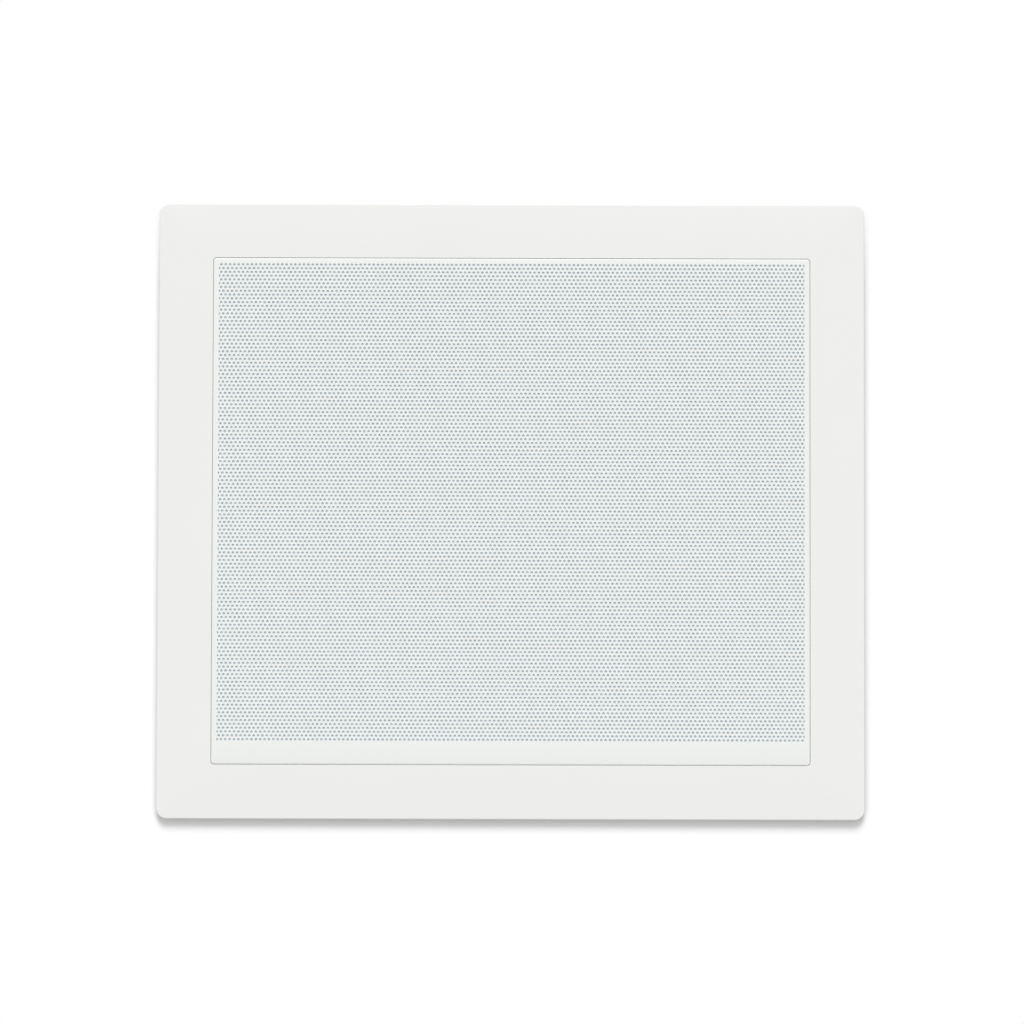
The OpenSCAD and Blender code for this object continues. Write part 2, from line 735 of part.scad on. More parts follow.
// Capacitor that lies on the board, with a groove near one end and a wire at each
module axial(r, long) {
    legs = 3;
    translate([0, 0, r + glue]) rotate([0, 90, 0]) {
        translate([0, 0, -long / 2]) cylinder(r = r, h = long);
        for (s = [-1, 1]) translate([0, 0, s * (long / 2 + legs / 2) - legs / 2]) cylinder(r = 0.5, h = legs);
    }
    for (s = [-1, 1]) translate([s * (long / 2 + legs - 0.5), 0, glue]) cylinder(r = 0.5, h = r + 0.5);
}

module film_capacitor() color("gold") at_board() translate([30, 13, 0]) axial(8, 24);
module electrolytic_capacitor() color("midnightblue") at_board() translate([12, -2, 0]) axial(6, 24);

module cement_resistor() {
    color("white") at_board() translate([0, -22.5, glue]) difference() {
        cube([24, 9, 9]);
        translate([1.5, 1.5, 8]) cube([21, 6, 2]);
    }
}

module terminal_block() {
    color("green") at_board() translate([33, -22, glue]) difference() {
        union() {
            cube([12, block_d, 9]);
            translate([0, 0, 8]) cube([9, block_d, 5]);
        }
        for (i = [0, 1]) translate([0, block_d / 2 + (i - 0.5) * block_pitch, 0]) {
            translate([5, 0, 4.5]) rotate([0, 90, 0]) cylinder(r = 2, h = 12);
            translate([5, 0, 5]) cylinder(r = 2.3, h = 12);
        }
    }
}

module terminal_screws() {
    color("silver") at_board() for (i = [0, 1]) translate([38, -22 + block_d / 2 + (i - 0.5) * block_pitch, glue + 9])
        difference() {
            cylinder(r = 2.2, h = 2);
            translate([-3, -0.4, 1.2]) cube([6, 0.8, 2]);
        }
}

module board_screws() {
    color("gray") at_board() for (p = board_holes) translate([p.x, p.y, 0]) rotate([180, 0, 0])
        pan_screw(1.1, 2.8, 2, board_t + post_h - 0.5);
}

// Internal leads: points along each route, chosen by hand
woofer_red_route = [
    [65.6, 93, lead_z - 1.6], [65.2, 92.4, 28.5], [62.6, 89, 30.5], [56.5, 79, 30], [49, 62, 29.5],
    [42, 42, 31], [36.5, 24, 36], [33.6, 12, 40.5], [33, 5.6, 41]
];
woofer_black_route = [
    [65.6, 85, lead_z - 1.6], [65.3, 84.4, 28.5], [63, 80, 30.5], [57.5, 68, 30], [52, 52, 29.5],
    [46.5, 33, 31], [42.5, 14, 35], [39, 1, 39.6], [32.7, -4.4, 41]
];
tweeter_red_route = [
    [98, 68, lead_z - 1.6], [98, 67.7, 28.5], [98.8, 65, 31], [100, 59, 32], [101.3, 51, 32.2],
    [102.3, 43, 31.6], [102.8, 36.3, 31]
];
tweeter_black_route = [
    [105, 68, lead_z - 1.6], [105.1, 67.7, 28.5], [106.4, 65, 31], [109, 59, 32], [111.3, 51, 32.2],
    [112.4, 43, 31.6], [112.8, 36.3, 31]
];

// Point at share s between b and c, on the smooth curve through a, b, c and d
function curve(a, b, c, d, s) = 0.5 * (2 * b + (c - a) * s + (2 * a - 5 * b + 4 * c - d) * s * s
    + (3 * b - a - 3 * c + d) * s * s * s);
function smooth(p, n) = let (m = len(p) - 1) concat(
    [for (i = [0 : m - 1], k = [0 : n - 1]) curve(p[max(i - 1, 0)], p[i], p[i + 1], p[min(i + 2, m)], k / n)],
    [p[m]]
);
function unit(v) = v / norm(v);

// Tube of radius r along the points; across is a direction that the route stays clear of
module tube(p, r, across) {
    sides = 8;
    m = len(p) - 1;
    way = [for (i = [0 : m]) unit(p[min(i + 1, m)] - p[max(i - 1, 0)])];
    side = [for (w = way) unit(cross(w, across))];
    points = [for (i = [0 : m], k = [0 : sides - 1])
        p[i] + r * (cos(k * 360 / sides) * side[i] + sin(k * 360 / sides) * cross(way[i], side[i]))];
    faces = concat(
        [[for (k = [0 : sides - 1]) k]],
        [for (i = [0 : m - 1], k = [0 : sides - 1]) let (n = (k + 1) % sides) each [
            [i * sides + k, (i + 1) * sides + k, (i + 1) * sides + n],
            [i * sides + k, (i + 1) * sides + n, i * sides + n]
        ]],
        [[for (k = [sides - 1 : -1 : 0]) m * sides + k]]
    );
    polyhedron(points, faces);
}

module woofer_lead_red() color("red") tube(smooth(woofer_red_route, 2), lead_r, [1, -1, 0]);
module woofer_lead_black() color("black") tube(smooth(woofer_black_route, 2), lead_r, [1, -1, 0]);
module tweeter_lead_red() color("red") tube(smooth(tweeter_red_route, 2), lead_r, [1, 0, 0]);
module tweeter_lead_black() color("black") tube(smooth(tweeter_black_route, 2), lead_r, [1, 0, 0]);

// Safety bracket

module safety_bracket() {
    color("silver") translate([bracket_x, bracket_y, bracket_z]) rotate(90) difference() {
        union() {
            translate([-bracket_l / 2, -bracket_w / 2, 0]) cube([bracket_l, bracket_w, bracket_t]);
            translate([0, bracket_w / 2, 0]) rotate([90, 0, 0]) linear_extrude(bracket_t) {
                translate([-bracket_l / 2, 0]) square([bracket_l, eye_h - bracket_l / 2 + 6]);
                intersection() {
                    translate([0, eye_h - 3]) circle(bracket_l / 2);
                    translate([-bracket_l / 2, 0]) square([bracket_l, eye_h * 2]);
                }
            }
        }
        translate([0, bracket_w / 2 + cut, eye_h]) rotate([90, 0, 0]) cylinder(r = eye_r, h = bracket_t + 2 * cut);
        for (x = [-1, 1]) translate([x * 7, -4, -cut]) cylinder(r = 1.7, h = bracket_t + 2 * cut);
    }
}

module bracket_screws() {
    color("gray") translate([bracket_x, bracket_y, bracket_z + bracket_t]) rotate(90) for (x = [-1, 1])
        translate([x * 7, -4, 0]) rotate([180, 0, 0]) pan_screw(1.3, 2.8, 2, pad_h + 2);
}

// Clamps

module clamp_screw() {
    translate([0, 0, land_z - glue]) pan_screw(screw_r, head_r, head_h, shank_top - land_z + glue);
    translate([0, 0, clip_z]) cylinder(r = screw_r + 2.2, h = clip_t);
}

module clamp_arm() {
    tip_h = 6;
    tooth = 1;
    translate([0, 0, arm_z]) difference() {
        intersection() {
            translate([0, arm_w / 2 + 2, 0]) rotate([90, 0, 0]) linear_extrude(arm_w + 4) polygon([
                [-hub_r, 0], [hub_r + 1, 0], [hub_r + 4, 3.5], [arm_reach - 11, 3.5], [arm_reach - 8, 0],
                [arm_reach - 6, 0], [arm_reach - 5, tooth], [arm_reach - 4, 0], [arm_reach - 2, 0],
                [arm_reach - 1, tooth], [arm_reach, tooth], [arm_reach, tip_h], [hub_r + 1, arm_h], [-hub_r, arm_h]
            ]);
            linear_extrude(arm_h) {
                circle(hub_r);
                translate([0, -arm_w / 2]) square([arm_reach - 3, arm_w]);
                translate([arm_reach - 3 - 0.01, -arm_w / 2 + 3]) square([3.01, arm_w - 6]);
                for (s = [-1, 1]) translate([arm_reach - 3, s * (arm_w / 2 - 3)]) circle(3);
            }
        }
        translate([0, 0, -cut]) cylinder(r = screw_r + run, h = arm_h + 2 * cut);
    }
}

mounting_frame();
neck();
baffle();
tower_walls();
tower_stops();
grille();
grille_cloth();
grille_magnets();
woofer_gasket();
woofer_basket();
woofer_surround();
woofer_cone();
woofer_dust_cap();
woofer_spider();
voice_coil_former();
voice_coil_winding();
woofer_top_plate();
woofer_magnet();
woofer_yoke();
woofer_terminal_strip();
woofer_terminals();
woofer_screws();
tweeter_faceplate();
tweeter_dome();
tweeter_top_plate();
tweeter_magnet();
tweeter_yoke();
tweeter_terminal_strip();
tweeter_terminals();
tweeter_screws();
crossover_board();
woofer_inductor_bobbin();
woofer_inductor_winding();
tweeter_inductor_bobbin();
tweeter_inductor_winding();
film_capacitor();
electrolytic_capacitor();
cement_resistor();
terminal_block();
terminal_screws();
board_screws();
woofer_lead_red();
woofer_lead_black();
tweeter_lead_red();
tweeter_lead_black();
safety_bracket();
bracket_screws();
for (i = [0 : 3]) {
    color("silver") at_clamp(i) clamp_screw();
    color([0.15, 0.15, 0.16]) at_clamp(i) clamp_arm();
}
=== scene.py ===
"""Rectangular ceiling speaker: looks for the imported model, in metres.

The speaker hangs face down, so its front face is at z = 0 and looks along -Z.
+X is its long side and +Y points to the grille's wide plain margin.
"""
import json
import math

import bmesh
import bpy
from mathutils import Matrix, Vector


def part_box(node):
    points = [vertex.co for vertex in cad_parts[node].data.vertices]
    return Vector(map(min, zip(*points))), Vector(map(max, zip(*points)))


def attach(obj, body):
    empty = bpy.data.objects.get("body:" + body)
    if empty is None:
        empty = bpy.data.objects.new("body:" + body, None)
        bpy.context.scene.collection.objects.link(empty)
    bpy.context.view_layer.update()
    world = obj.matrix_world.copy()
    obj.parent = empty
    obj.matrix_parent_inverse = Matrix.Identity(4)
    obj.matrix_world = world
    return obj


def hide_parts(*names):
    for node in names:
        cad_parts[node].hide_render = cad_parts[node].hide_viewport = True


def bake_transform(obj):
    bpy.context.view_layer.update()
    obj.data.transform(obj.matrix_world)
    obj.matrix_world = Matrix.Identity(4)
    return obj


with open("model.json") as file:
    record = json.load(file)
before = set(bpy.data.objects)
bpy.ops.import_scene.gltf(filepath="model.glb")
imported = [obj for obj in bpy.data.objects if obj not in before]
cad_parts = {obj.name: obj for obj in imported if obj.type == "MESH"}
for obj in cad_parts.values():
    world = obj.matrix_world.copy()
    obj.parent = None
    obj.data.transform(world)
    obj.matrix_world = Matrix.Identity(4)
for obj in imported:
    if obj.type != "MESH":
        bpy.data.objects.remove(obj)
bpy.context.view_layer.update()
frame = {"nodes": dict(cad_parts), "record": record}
bpy.context.scene.view_settings.view_transform = "Standard"
MM = 0.001
# a wave texture repeats every WAVE / scale metres
WAVE = 0.314

# Places and sizes that the part's source gives, in metres
FRAME_W = 0.405
FRAME_D = 0.353
CEILING_Z = 0.005
grille_low, grille_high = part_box("grille")
GRILLE_W = grille_high.x - grille_low.x
GRILLE_D = grille_high.y - grille_low.y
GRILLE_H = grille_high.z
SHEET = 0.0008
# outer radius of the fold, and of the grille's four corners
FOLD = 0.0009
CORNER = 0.0018
PITCH = 0.0025
ROW_PITCH = 0.00218
HOLE_R = 0.00075
HOLE_ROWS = 126
HOLE_COLUMNS = 134
FIRST_ROW_Y = -GRILLE_D / 2 + 0.004
WOOFER = Vector((-0.0542, 0, 0.0114))
TWEETER = Vector((0.1078, 0, 0.014))
# middle of the crossover board's top face
BOARD = Vector((0.109, 0.093, 0.0256))


# Building blocks

def linear(hex_colour):
    """Linear RGBA of an sRGB hex colour."""
    parts = [int(hex_colour[i:i + 2], 16) / 255 for i in (1, 3, 5)]
    return [c / 12.92 if c <= 0.04045 else ((c + 0.055) / 1.055) ** 2.4 for c in parts] + [1.0]


def add(tree, kind, inputs=None, **settings):
    """Adds one node to a tree. Each input is a value, or the socket that feeds it."""
    node = tree.nodes.new(kind)
    for name, value in settings.items():
        setattr(node, name, value)
    for key, value in (inputs or {}).items():
        if isinstance(value, bpy.types.NodeSocket):
            tree.links.new(value, node.inputs[key])
        else:
            node.inputs[key].default_value = value
    return node


def new_material(name, values=None):
    """A material with a Principled shader: returns it, its tree, the shader and the object coordinates."""
    material = bpy.data.materials.new(name)
    material.use_nodes = True
    tree = material.node_tree
    shader = tree.nodes["Principled BSDF"]
    for key, value in (values or {}).items():
        shader.inputs[key].default_value = value
    coords = add(tree, "ShaderNodeTexCoord").outputs["Object"]
    return material, tree, shader, coords


def surface(tree, shader, tone, colours, grain=None, strength=0.0, depth_mm=0.0, rough=None):
    """Colours the shader between two hex colours by the tone. The grain raises it and varies its gloss."""
    tint = add(tree, "ShaderNodeMix", {0: tone, 6: linear(colours[0]), 7: linear(colours[1])},
               data_type="RGBA")
    tree.links.new(tint.outputs[2], shader.inputs["Base Color"])
    if rough:
        gloss = add(tree, "ShaderNodeMapRange", {"Value": grain, "To Min": rough[0], "To Max": rough[1]})
        tree.links.new(gloss.outputs["Result"], shader.inputs["Roughness"])
    if grain:
        bump = add(tree, "ShaderNodeBump", {"Height": grain, "Strength": strength, "Distance": depth_mm * MM})
        tree.links.new(bump.outputs["Normal"], shader.inputs["Normal"])


def new_piece(name, mesh, material, body, replaces=()):
    """An object for a finished mesh. It rides on the given body, or on none if no body is given."""
    piece = bpy.data.objects.new(name, mesh)
    bpy.context.scene.collection.objects.link(piece)
    mesh.materials.clear()
    mesh.materials.append(material)
    if body:
        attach(piece, body)
    if replaces:
        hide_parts(*replaces)
    return piece


def mesh_of(bm, name, angle=35):
    """A plain mesh from a bmesh, smooth up to an angle in degrees."""
    bm.normal_update()
    limit = math.radians(angle)
    for face in bm.faces:
        face.smooth = True
    for edge in bm.edges:
        edge.smooth = len(edge.link_faces) == 2 and edge.calc_face_angle(0) <= limit
    mesh = bpy.data.meshes.new(name)
    bm.to_mesh(mesh)
    bm.free()
    return mesh


def closed(bm, distance=1e-6):
    """Merges doubles and turns every face outwards."""
    bmesh.ops.remove_doubles(bm, verts=bm.verts, dist=distance)
    bmesh.ops.recalc_face_normals(bm, faces=bm.faces)


def turn(bm, degrees, axis):
    """Turns the whole of a bmesh about an axis through the origin."""
    matrix = Matrix.Rotation(math.radians(degrees), 3, axis)
    bmesh.ops.rotate(bm, verts=bm.verts, cent=(0, 0, 0), matrix=matrix)


def lathe(bm, profile, centre, steps=96):
    """Turns a closed profile of (radius, height) points round an upright axis, all in metres."""
    x, y, z = centre
    rings = []
    for k in range(steps):
        a = 2 * math.pi * k / steps
        rings.append([bm.verts.new((x + r * math.cos(a), y + r * math.sin(a), z + rise))
                      for r, rise in profile])
    for k in range(steps):
        here, there = rings[k], rings[(k + 1) % steps]
        for i in range(len(profile)):
            j = (i + 1) % len(profile)
            # an edge that lies on the axis makes no face
            if profile[i][0] > 0 or profile[j][0] > 0:
                bm.faces.new((here[i], there[i], there[j], here[j]))


# Camera, lights and stage

# how far the ceiling's white takes to come in, and how near the rim its colour darkens as painted contact
# shade
SHADE_RUN = 0.06
PAINTED_SHADE_REACH = 0.0045


def make_camera():
    """Stands below the ceiling, a little towards the grille's wide margin, as in the photograph."""
    distance = 2.5
    tilt = math.radians(2.65)
    roll = math.radians(0.15)
    data = bpy.data.cameras.new("photo_camera")
    data.sensor_width = 36
    data.lens = 153.35
    camera = bpy.data.objects.new("photo_camera", data)
    bpy.context.scene.collection.objects.link(camera)
    aim = Vector((0.0005, 0.0006, 0))
    back = Vector((0, math.sin(tilt), -math.cos(tilt)))
    up = Vector((0, -1, 0))
    right = up.cross(back).normalized()
    up = back.cross(right)
    level = Matrix.Rotation(roll, 3, back)
    axes = Matrix((level @ right, level @ up, back)).transposed()
    camera.matrix_world = Matrix.Translation(aim + back * distance) @ axes.to_4x4()
    bpy.context.scene.camera = camera


def make_sun(name, travel, strength, angle):
    """A broad soft sun, whose light travels along a direction. The angle is its width in degrees."""
    data = bpy.data.lights.new(name, "SUN")
    data.energy = strength
    data.angle = math.radians(angle)
    lamp = bpy.data.objects.new(name, data)
    bpy.context.scene.collection.objects.link(lamp)
    lamp.rotation_mode = "QUATERNION"
    lamp.rotation_quaternion = Vector(travel).to_track_quat("-Z", "Y")


def make_lights():
    """An even white surround, with one soft light from each side of the ceiling."""
    rise = math.radians(40)
    make_sun("key_from_below", (0, math.cos(rise), math.sin(rise)), 2.04, 27)
    make_sun("key_from_above", (0.35, 0.45, -0.82), 1.8, 30)
    world = bpy.data.worlds.new("white_surround")
    world.use_nodes = True
    bpy.context.scene.world = world
    tree = world.node_tree
    path = add(tree, "ShaderNodeLightPath")
    # full white where it is seen or mirrored, and a weaker light on matte surfaces
    seen = add(tree, "ShaderNodeMath", {
        0: path.outputs["Is Camera Ray"], 1: path.outputs["Is Transmission Ray"]}, operation="MAXIMUM")
    seen = add(tree, "ShaderNodeMath", {
        0: seen.outputs[0], 1: path.outputs["Is Glossy Ray"]}, operation="MAXIMUM")
    level = add(tree, "ShaderNodeMapRange", {"Value": seen.outputs[0], "To Min": 0.57, "To Max": 1.0})
    shade = tree.nodes["Background"]
    shade.inputs["Color"].default_value = (1, 1, 1, 1)
    tree.links.new(level.outputs["Result"], shade.inputs["Strength"])


def one_sided_white(name, fade, shade_from):
    """White board that shows from its front alone and fades into the white surround; it keeps shadows, and
    its colour darkens near the rim as painted contact shade.

    It shows in full near the frame and is gone at the distance fade from it. It comes in over
    SHADE_RUN from the line y = shade_from towards +Y, because the light comes from the -Y side: a painted
    highlight that leaves the -Y side plain white, with none of the board's shadow or shade.
    """
    material = bpy.data.materials.new(name)
    material.use_nodes = True
    tree = material.node_tree
    tree.nodes.clear()
    path = add(tree, "ShaderNodeLightPath")
    side = add(tree, "ShaderNodeNewGeometry")
    place = add(tree, "ShaderNodeSeparateXYZ", {0: add(tree, "ShaderNodeTexCoord").outputs["Object"]})
    far_x = add(tree, "ShaderNodeMath", {0: place.outputs[0]}, operation="ABSOLUTE")
    far_y = add(tree, "ShaderNodeMath", {0: place.outputs[1]}, operation="ABSOLUTE")
    far_x = add(tree, "ShaderNodeMath", {0: far_x.outputs[0], 1: FRAME_W / 2}, operation="SUBTRACT")
    far_y = add(tree, "ShaderNodeMath", {0: far_y.outputs[0], 1: FRAME_D / 2}, operation="SUBTRACT")
    far = add(tree, "ShaderNodeMath", {0: far_x.outputs[0], 1: far_y.outputs[0]}, operation="MAXIMUM")
    near = add(tree, "ShaderNodeMapRange", {
        "Value": far.outputs[0], "From Min": fade * 0.35, "From Max": fade, "To Min": 1.0, "To Max": 0.0})
    # painted highlight: the board is hidden on the -Y side, so no shadow or shade shows there
    lee = add(tree, "ShaderNodeMapRange", {
        "Value": place.outputs[1], "From Min": shade_from, "From Max": shade_from + SHADE_RUN})
    near = add(tree, "ShaderNodeMath", {
        0: near.outputs["Result"], 1: lee.outputs["Result"]}, operation="MULTIPLY")
    front = add(tree, "ShaderNodeMath", {0: 1.0, 1: side.outputs["Backfacing"]}, operation="SUBTRACT")
    shown = add(tree, "ShaderNodeMath", {
        0: front.outputs[0], 1: path.outputs["Is Camera Ray"]}, operation="MULTIPLY")
    shown = add(tree, "ShaderNodeMath", {0: shown.outputs[0], 1: near.outputs[0]}, operation="MULTIPLY")
    # painted contact shade: the board's colour darkens by ambient occlusion within 4.5 mm of the rim that it
    # touches
    contact = add(tree, "ShaderNodeAmbientOcclusion", {"Distance": PAINTED_SHADE_REACH}, samples=12)
    soft = add(tree, "ShaderNodeMapRange", {"Value": contact.outputs["AO"], "To Min": 0.35})
    board = add(tree, "ShaderNodeBsdfDiffuse", {"Color": soft.outputs["Result"]})
    glow = add(tree, "ShaderNodeEmission", {"Color": (1, 1, 1, 1), "Strength": 0.04})
    lit = add(tree, "ShaderNodeAddShader", {0: board.outputs[0], 1: glow.outputs[0]})
    clear = add(tree, "ShaderNodeBsdfTransparent")
    mix = add(tree, "ShaderNodeMixShader", {0: shown.outputs[0], 1: clear.outputs[0], 2: lit.outputs[0]})
    add(tree, "ShaderNodeOutputMaterial", {"Surface": mix.outputs[0]})
    return material


def make_stage():
    """The ceiling round the frame, seen from below, and the floor that the face rests on, seen from above."""
    gap = 0.0002
    # half sizes of the ceiling's opening, whose edge the frame's border covers
    hole_x, hole_y = 0.19, 0.164
    for name, z, facing, fade, shade_from in (("ceiling_board", CEILING_Z + gap, -1, 0.09, -0.19),
                                              ("floor_board", -gap, 1, 0.25, -1.0)):
        bm = bmesh.new()
        half_w, half_d = FRAME_W / 2 + fade, FRAME_D / 2 + fade
        corners = ((-1, -1), (1, -1), (1, 1), (-1, 1))
        outer = [bm.verts.new((sx * half_w, sy * half_d, z)) for sx, sy in corners]
        if facing > 0:
            bm.faces.new(outer)
        else:
            inner = [bm.verts.new((sx * hole_x, sy * hole_y, z)) for sx, sy in corners]
            for i in range(4):
                j = (i + 1) % 4
                bm.faces.new((outer[i], inner[i], inner[j], outer[j]))
        mesh = bpy.data.meshes.new(name)
        bm.to_mesh(mesh)
        bm.free()
        board = bpy.data.objects.new(name, mesh)
        bpy.context.scene.collection.objects.link(board)
        mesh.materials.append(one_sided_white(name, fade, shade_from))


# Finishes

def moulded_white_abs():
    """Injection-moulded white ABS: satin, with a fine spark-eroded grain and a faint cloudiness."""
    material, tree, shader, coords = new_material(
        "moulded_white_abs", {"IOR": 1.5, "Specular IOR Level": 0.25})
    cloud = add(tree, "ShaderNodeTexNoise", {"Vector": coords, "Scale": 14.0, "Detail": 2.0})
    # real grain is near 0.1 mm; it is drawn at about 0.5 mm so that it shows
    grain = add(tree, "ShaderNodeTexNoise", {"Vector": coords, "Scale": 2000.0, "Detail": 2.0})
    surface(tree, shader, cloud.outputs["Fac"], ("#EEEEEC", "#F0F0EE"), grain.outputs["Fac"], 0.12, 0.06,
            (0.5, 0.64))
    return material


def powder_coated_steel():
    """White powder coat on perforated steel: satin, with a shallow orange peel."""
    material, tree, shader, coords = new_material(
        "powder_coated_steel", {"Roughness": 0.55, "Specular IOR Level": 0.25})
    cloud = add(tree, "ShaderNodeTexNoise", {"Vector": coords, "Scale": 30.0, "Detail": 2.0})
    # the peel's dimples are about 1 mm across
    peel = add(tree, "ShaderNodeTexNoise", {"Vector": coords, "Scale": 900.0, "Detail": 1.0})
    surface(tree, shader, cloud.outputs["Fac"], ("#EFF1EE", "#F0F2EF"), peel.outputs["Fac"], 0.15, 0.08)
    return material


def plain_weave(tree, place, scale):
    """Threads that cross: near 1 on a thread and near 0 in the gaps. They repeat every WAVE / scale."""
    warp = add(tree, "ShaderNodeTexWave", {"Vector": place, "Scale": scale}, bands_direction="X")
    weft = add(tree, "ShaderNodeTexWave", {"Vector": place, "Scale": scale}, bands_direction="Y")
    return add(tree, "ShaderNodeMath", {0: warp.outputs["Fac"], 1: weft.outputs["Fac"]},
               operation="MAXIMUM").outputs[0]


def grille_scrim():
    """Pale grey-blue polyester scrim: an open plain weave, matte, with a faint sheen from its fibres."""
    material, tree, shader, coords = new_material(
        "polyester_scrim", {"Roughness": 0.9, "Specular IOR Level": 0.1, "Sheen Weight": 0.3})
    # real threads are near 0.35 mm apart; they are drawn 0.7 mm apart so that they show
    weave = plain_weave(tree, coords, 450.0)
    surface(tree, shader, weave, ("#C9D5E1", "#DEEAF6"), weave, 0.5, 0.1)
    return material


def moulded(name, dark, light, roughness, grain_mm, depth_mm):
    """Moulded, coated or sintered matter in one colour: slightly cloudy, with a grain of its own size."""
    material, tree, shader, coords = new_material(name)
    cloud = add(tree, "ShaderNodeTexNoise", {"Vector": coords, "Scale": 60.0, "Detail": 3.0})
    fine = add(tree, "ShaderNodeTexNoise", {"Vector": coords, "Scale": 1000.0 / grain_mm, "Detail": 2.0})
    surface(tree, shader, cloud.outputs["Fac"], (dark, light), fine.outputs["Fac"], 0.25, depth_mm,
            (roughness - 0.06, roughness + 0.06))
    return material


def plated(name, dark, light, roughness, rings_round=None, ring_mm=None):
    """Plated or bare metal, lightly stained. With rings_round it keeps the lathe's fine circles there."""
    material, tree, shader, coords = new_material(name, {"Metallic": 1.0})
    stain = add(tree, "ShaderNodeTexNoise", {"Vector": coords, "Scale": 45.0, "Detail": 3.0})
    if rings_round is None:
        grain = add(tree, "ShaderNodeTexNoise", {"Vector": coords, "Scale": 500.0, "Detail": 4.0})
        depth_mm = 0.02
    else:
        place = add(tree, "ShaderNodeMapping", {"Vector": coords, "Location": -rings_round})
        grain = add(tree, "ShaderNodeTexWave", {
            "Vector": place.outputs[0], "Scale": WAVE / (ring_mm * MM), "Distortion": 0.6, "Detail": 2.0},
            wave_type="RINGS", rings_direction="Z")
        depth_mm = 0.06
    surface(tree, shader, stain.outputs["Fac"], (dark, light), grain.outputs["Fac"], 0.3, depth_mm,
            (roughness - 0.08, roughness + 0.08))
    return material


def woven(name, dark, light, thread_mm, centre, roughness):
    """Plain-woven cloth, stiffened with resin or a coating: threads cross and stand up a little."""
    material, tree, shader, coords = new_material(name, {"Roughness": roughness, "Specular IOR Level": 0.3})
    place = add(tree, "ShaderNodeMapping", {"Vector": coords, "Location": -centre})
    weave = plain_weave(tree, place.outputs[0], WAVE / (thread_mm * MM))
    surface(tree, shader, weave, (dark, light), weave, 0.5, 0.1)
    return material


def circuit_board():
    """Glass-filled epoxy under green solder mask: glossy on both faces, with pale sawn edges."""
    material, tree, shader, coords = new_material("solder_masked_epoxy")
    way = add(tree, "ShaderNodeSeparateXYZ", {0: add(tree, "ShaderNodeNewGeometry").outputs["Normal"]})
    face = add(tree, "ShaderNodeMath", {0: way.outputs[2]}, operation="ABSOLUTE")
    face = add(tree, "ShaderNodeMath", {0: face.outputs[0], 1: 0.7}, operation="GREATER_THAN")
    # glass threads are 0.4 mm apart; the mask shows them faintly at 0.8 mm
    weave = add(tree, "ShaderNodeTexChecker", {"Vector": coords, "Scale": 1250.0})
    mask = add(tree, "ShaderNodeMix", {
        0: weave.outputs["Fac"], 6: linear("#0F5A30"), 7: linear("#115F34")}, data_type="RGBA")
    tint = add(tree, "ShaderNodeMix", {
        0: face.outputs[0], 6: linear("#A9A878"), 7: mask.outputs[2]}, data_type="RGBA")
    tree.links.new(tint.outputs[2], shader.inputs["Base Color"])
    rough = add(tree, "ShaderNodeMapRange", {"Value": face.outputs[0], "To Min": 0.8, "To Max": 0.25})
    tree.links.new(rough.outputs["Result"], shader.inputs["Roughness"])
    return material


def striped_sleeve():
    """Blue heat-shrink sleeve, with the pale stripe that marks the negative end of such a capacitor."""
    material, tree, shader, coords = new_material("shrunk_vinyl_sleeve", {"Roughness": 0.24})
    place = add(tree, "ShaderNodeSeparateXYZ", {0: coords})
    # the stripe is 3 mm wide, and its middle lies 3.5 mm off the board's middle line
    off = add(tree, "ShaderNodeMath", {0: place.outputs[1], 1: 0.0035 - BOARD.y}, operation="ADD")
    off = add(tree, "ShaderNodeMath", {0: off.outputs[0]}, operation="ABSOLUTE")
    stripe = add(tree, "ShaderNodeMath", {0: off.outputs[0], 1: 0.0015}, operation="LESS_THAN")
    shrink = add(tree, "ShaderNodeTexNoise", {"Vector": coords, "Scale": 350.0, "Detail": 2.0})
    surface(tree, shader, stripe.outputs[0], ("#182B5C", "#B9C2CF"), shrink.outputs["Fac"], 0.2, 0.1)
    return material


WHITE_ABS = moulded_white_abs()
GRILLE_COAT = powder_coated_steel()
SCRIM = grille_scrim()


# Grille

def hole_cell(part):
    """Front, back and hole wall of one cell of the perforated sheet: whole, or its left or right half."""
    half_x, half_y = PITCH / 2, ROW_PITCH / 2
    # an octagon with the same area as the round hole
    reach = HOLE_R * math.sqrt(math.pi / (2 * math.sqrt(2)))
    ring = [(reach * math.cos(math.radians(22.5 + 45 * k)), reach * math.sin(math.radians(22.5 + 45 * k)))
            for k in range(8)]
    if part == "whole":
        outer = [(half_x, -half_y), (half_x, half_y), (0, half_y),
                 (-half_x, half_y), (-half_x, -half_y), (0, -half_y)]
        points = outer + ring
        faces = [(0, 1, 6, 13), (1, 7, 6), (1, 2, 7), (2, 8, 7), (2, 3, 8), (3, 9, 8), (3, 4, 10, 9),
                 (4, 11, 10), (4, 5, 11), (5, 12, 11), (5, 0, 12), (0, 13, 12)]
        walls = [(6 + k, 6 + (k + 1) % 8) for k in range(8)]
    else:
        flat = reach * math.sin(math.radians(67.5))
        points = [(0, half_y), (-half_x, half_y), (-half_x, -half_y), (0, -half_y),
                  (0, flat), ring[2], ring[3], ring[4], ring[5], (0, -flat)]
        faces = [(0, 5, 4), (0, 1, 5), (1, 6, 5), (1, 2, 7, 6), (2, 8, 7), (2, 3, 8), (3, 9, 8)]
        walls = [(4, 5), (5, 6), (6, 7), (7, 8), (8, 9)]
        if part == "right":
            points = [(-x, y) for x, y in points]
            faces = [face[::-1] for face in faces]
            walls = [(b, a) for a, b in walls]
    mesh = bpy.data.meshes.new("hole_cell_" + part)
    count = len(points)
    verts = [(x, y, SHEET) for x, y in points] + [(x, y, 0) for x, y in points]
    all_faces = list(faces)
    all_faces += [tuple(i + count for i in face[::-1]) for face in faces]
    all_faces += [(b, a, a + count, b + count) for a, b in walls]
    mesh.from_pydata(verts, [], all_faces)
    return mesh


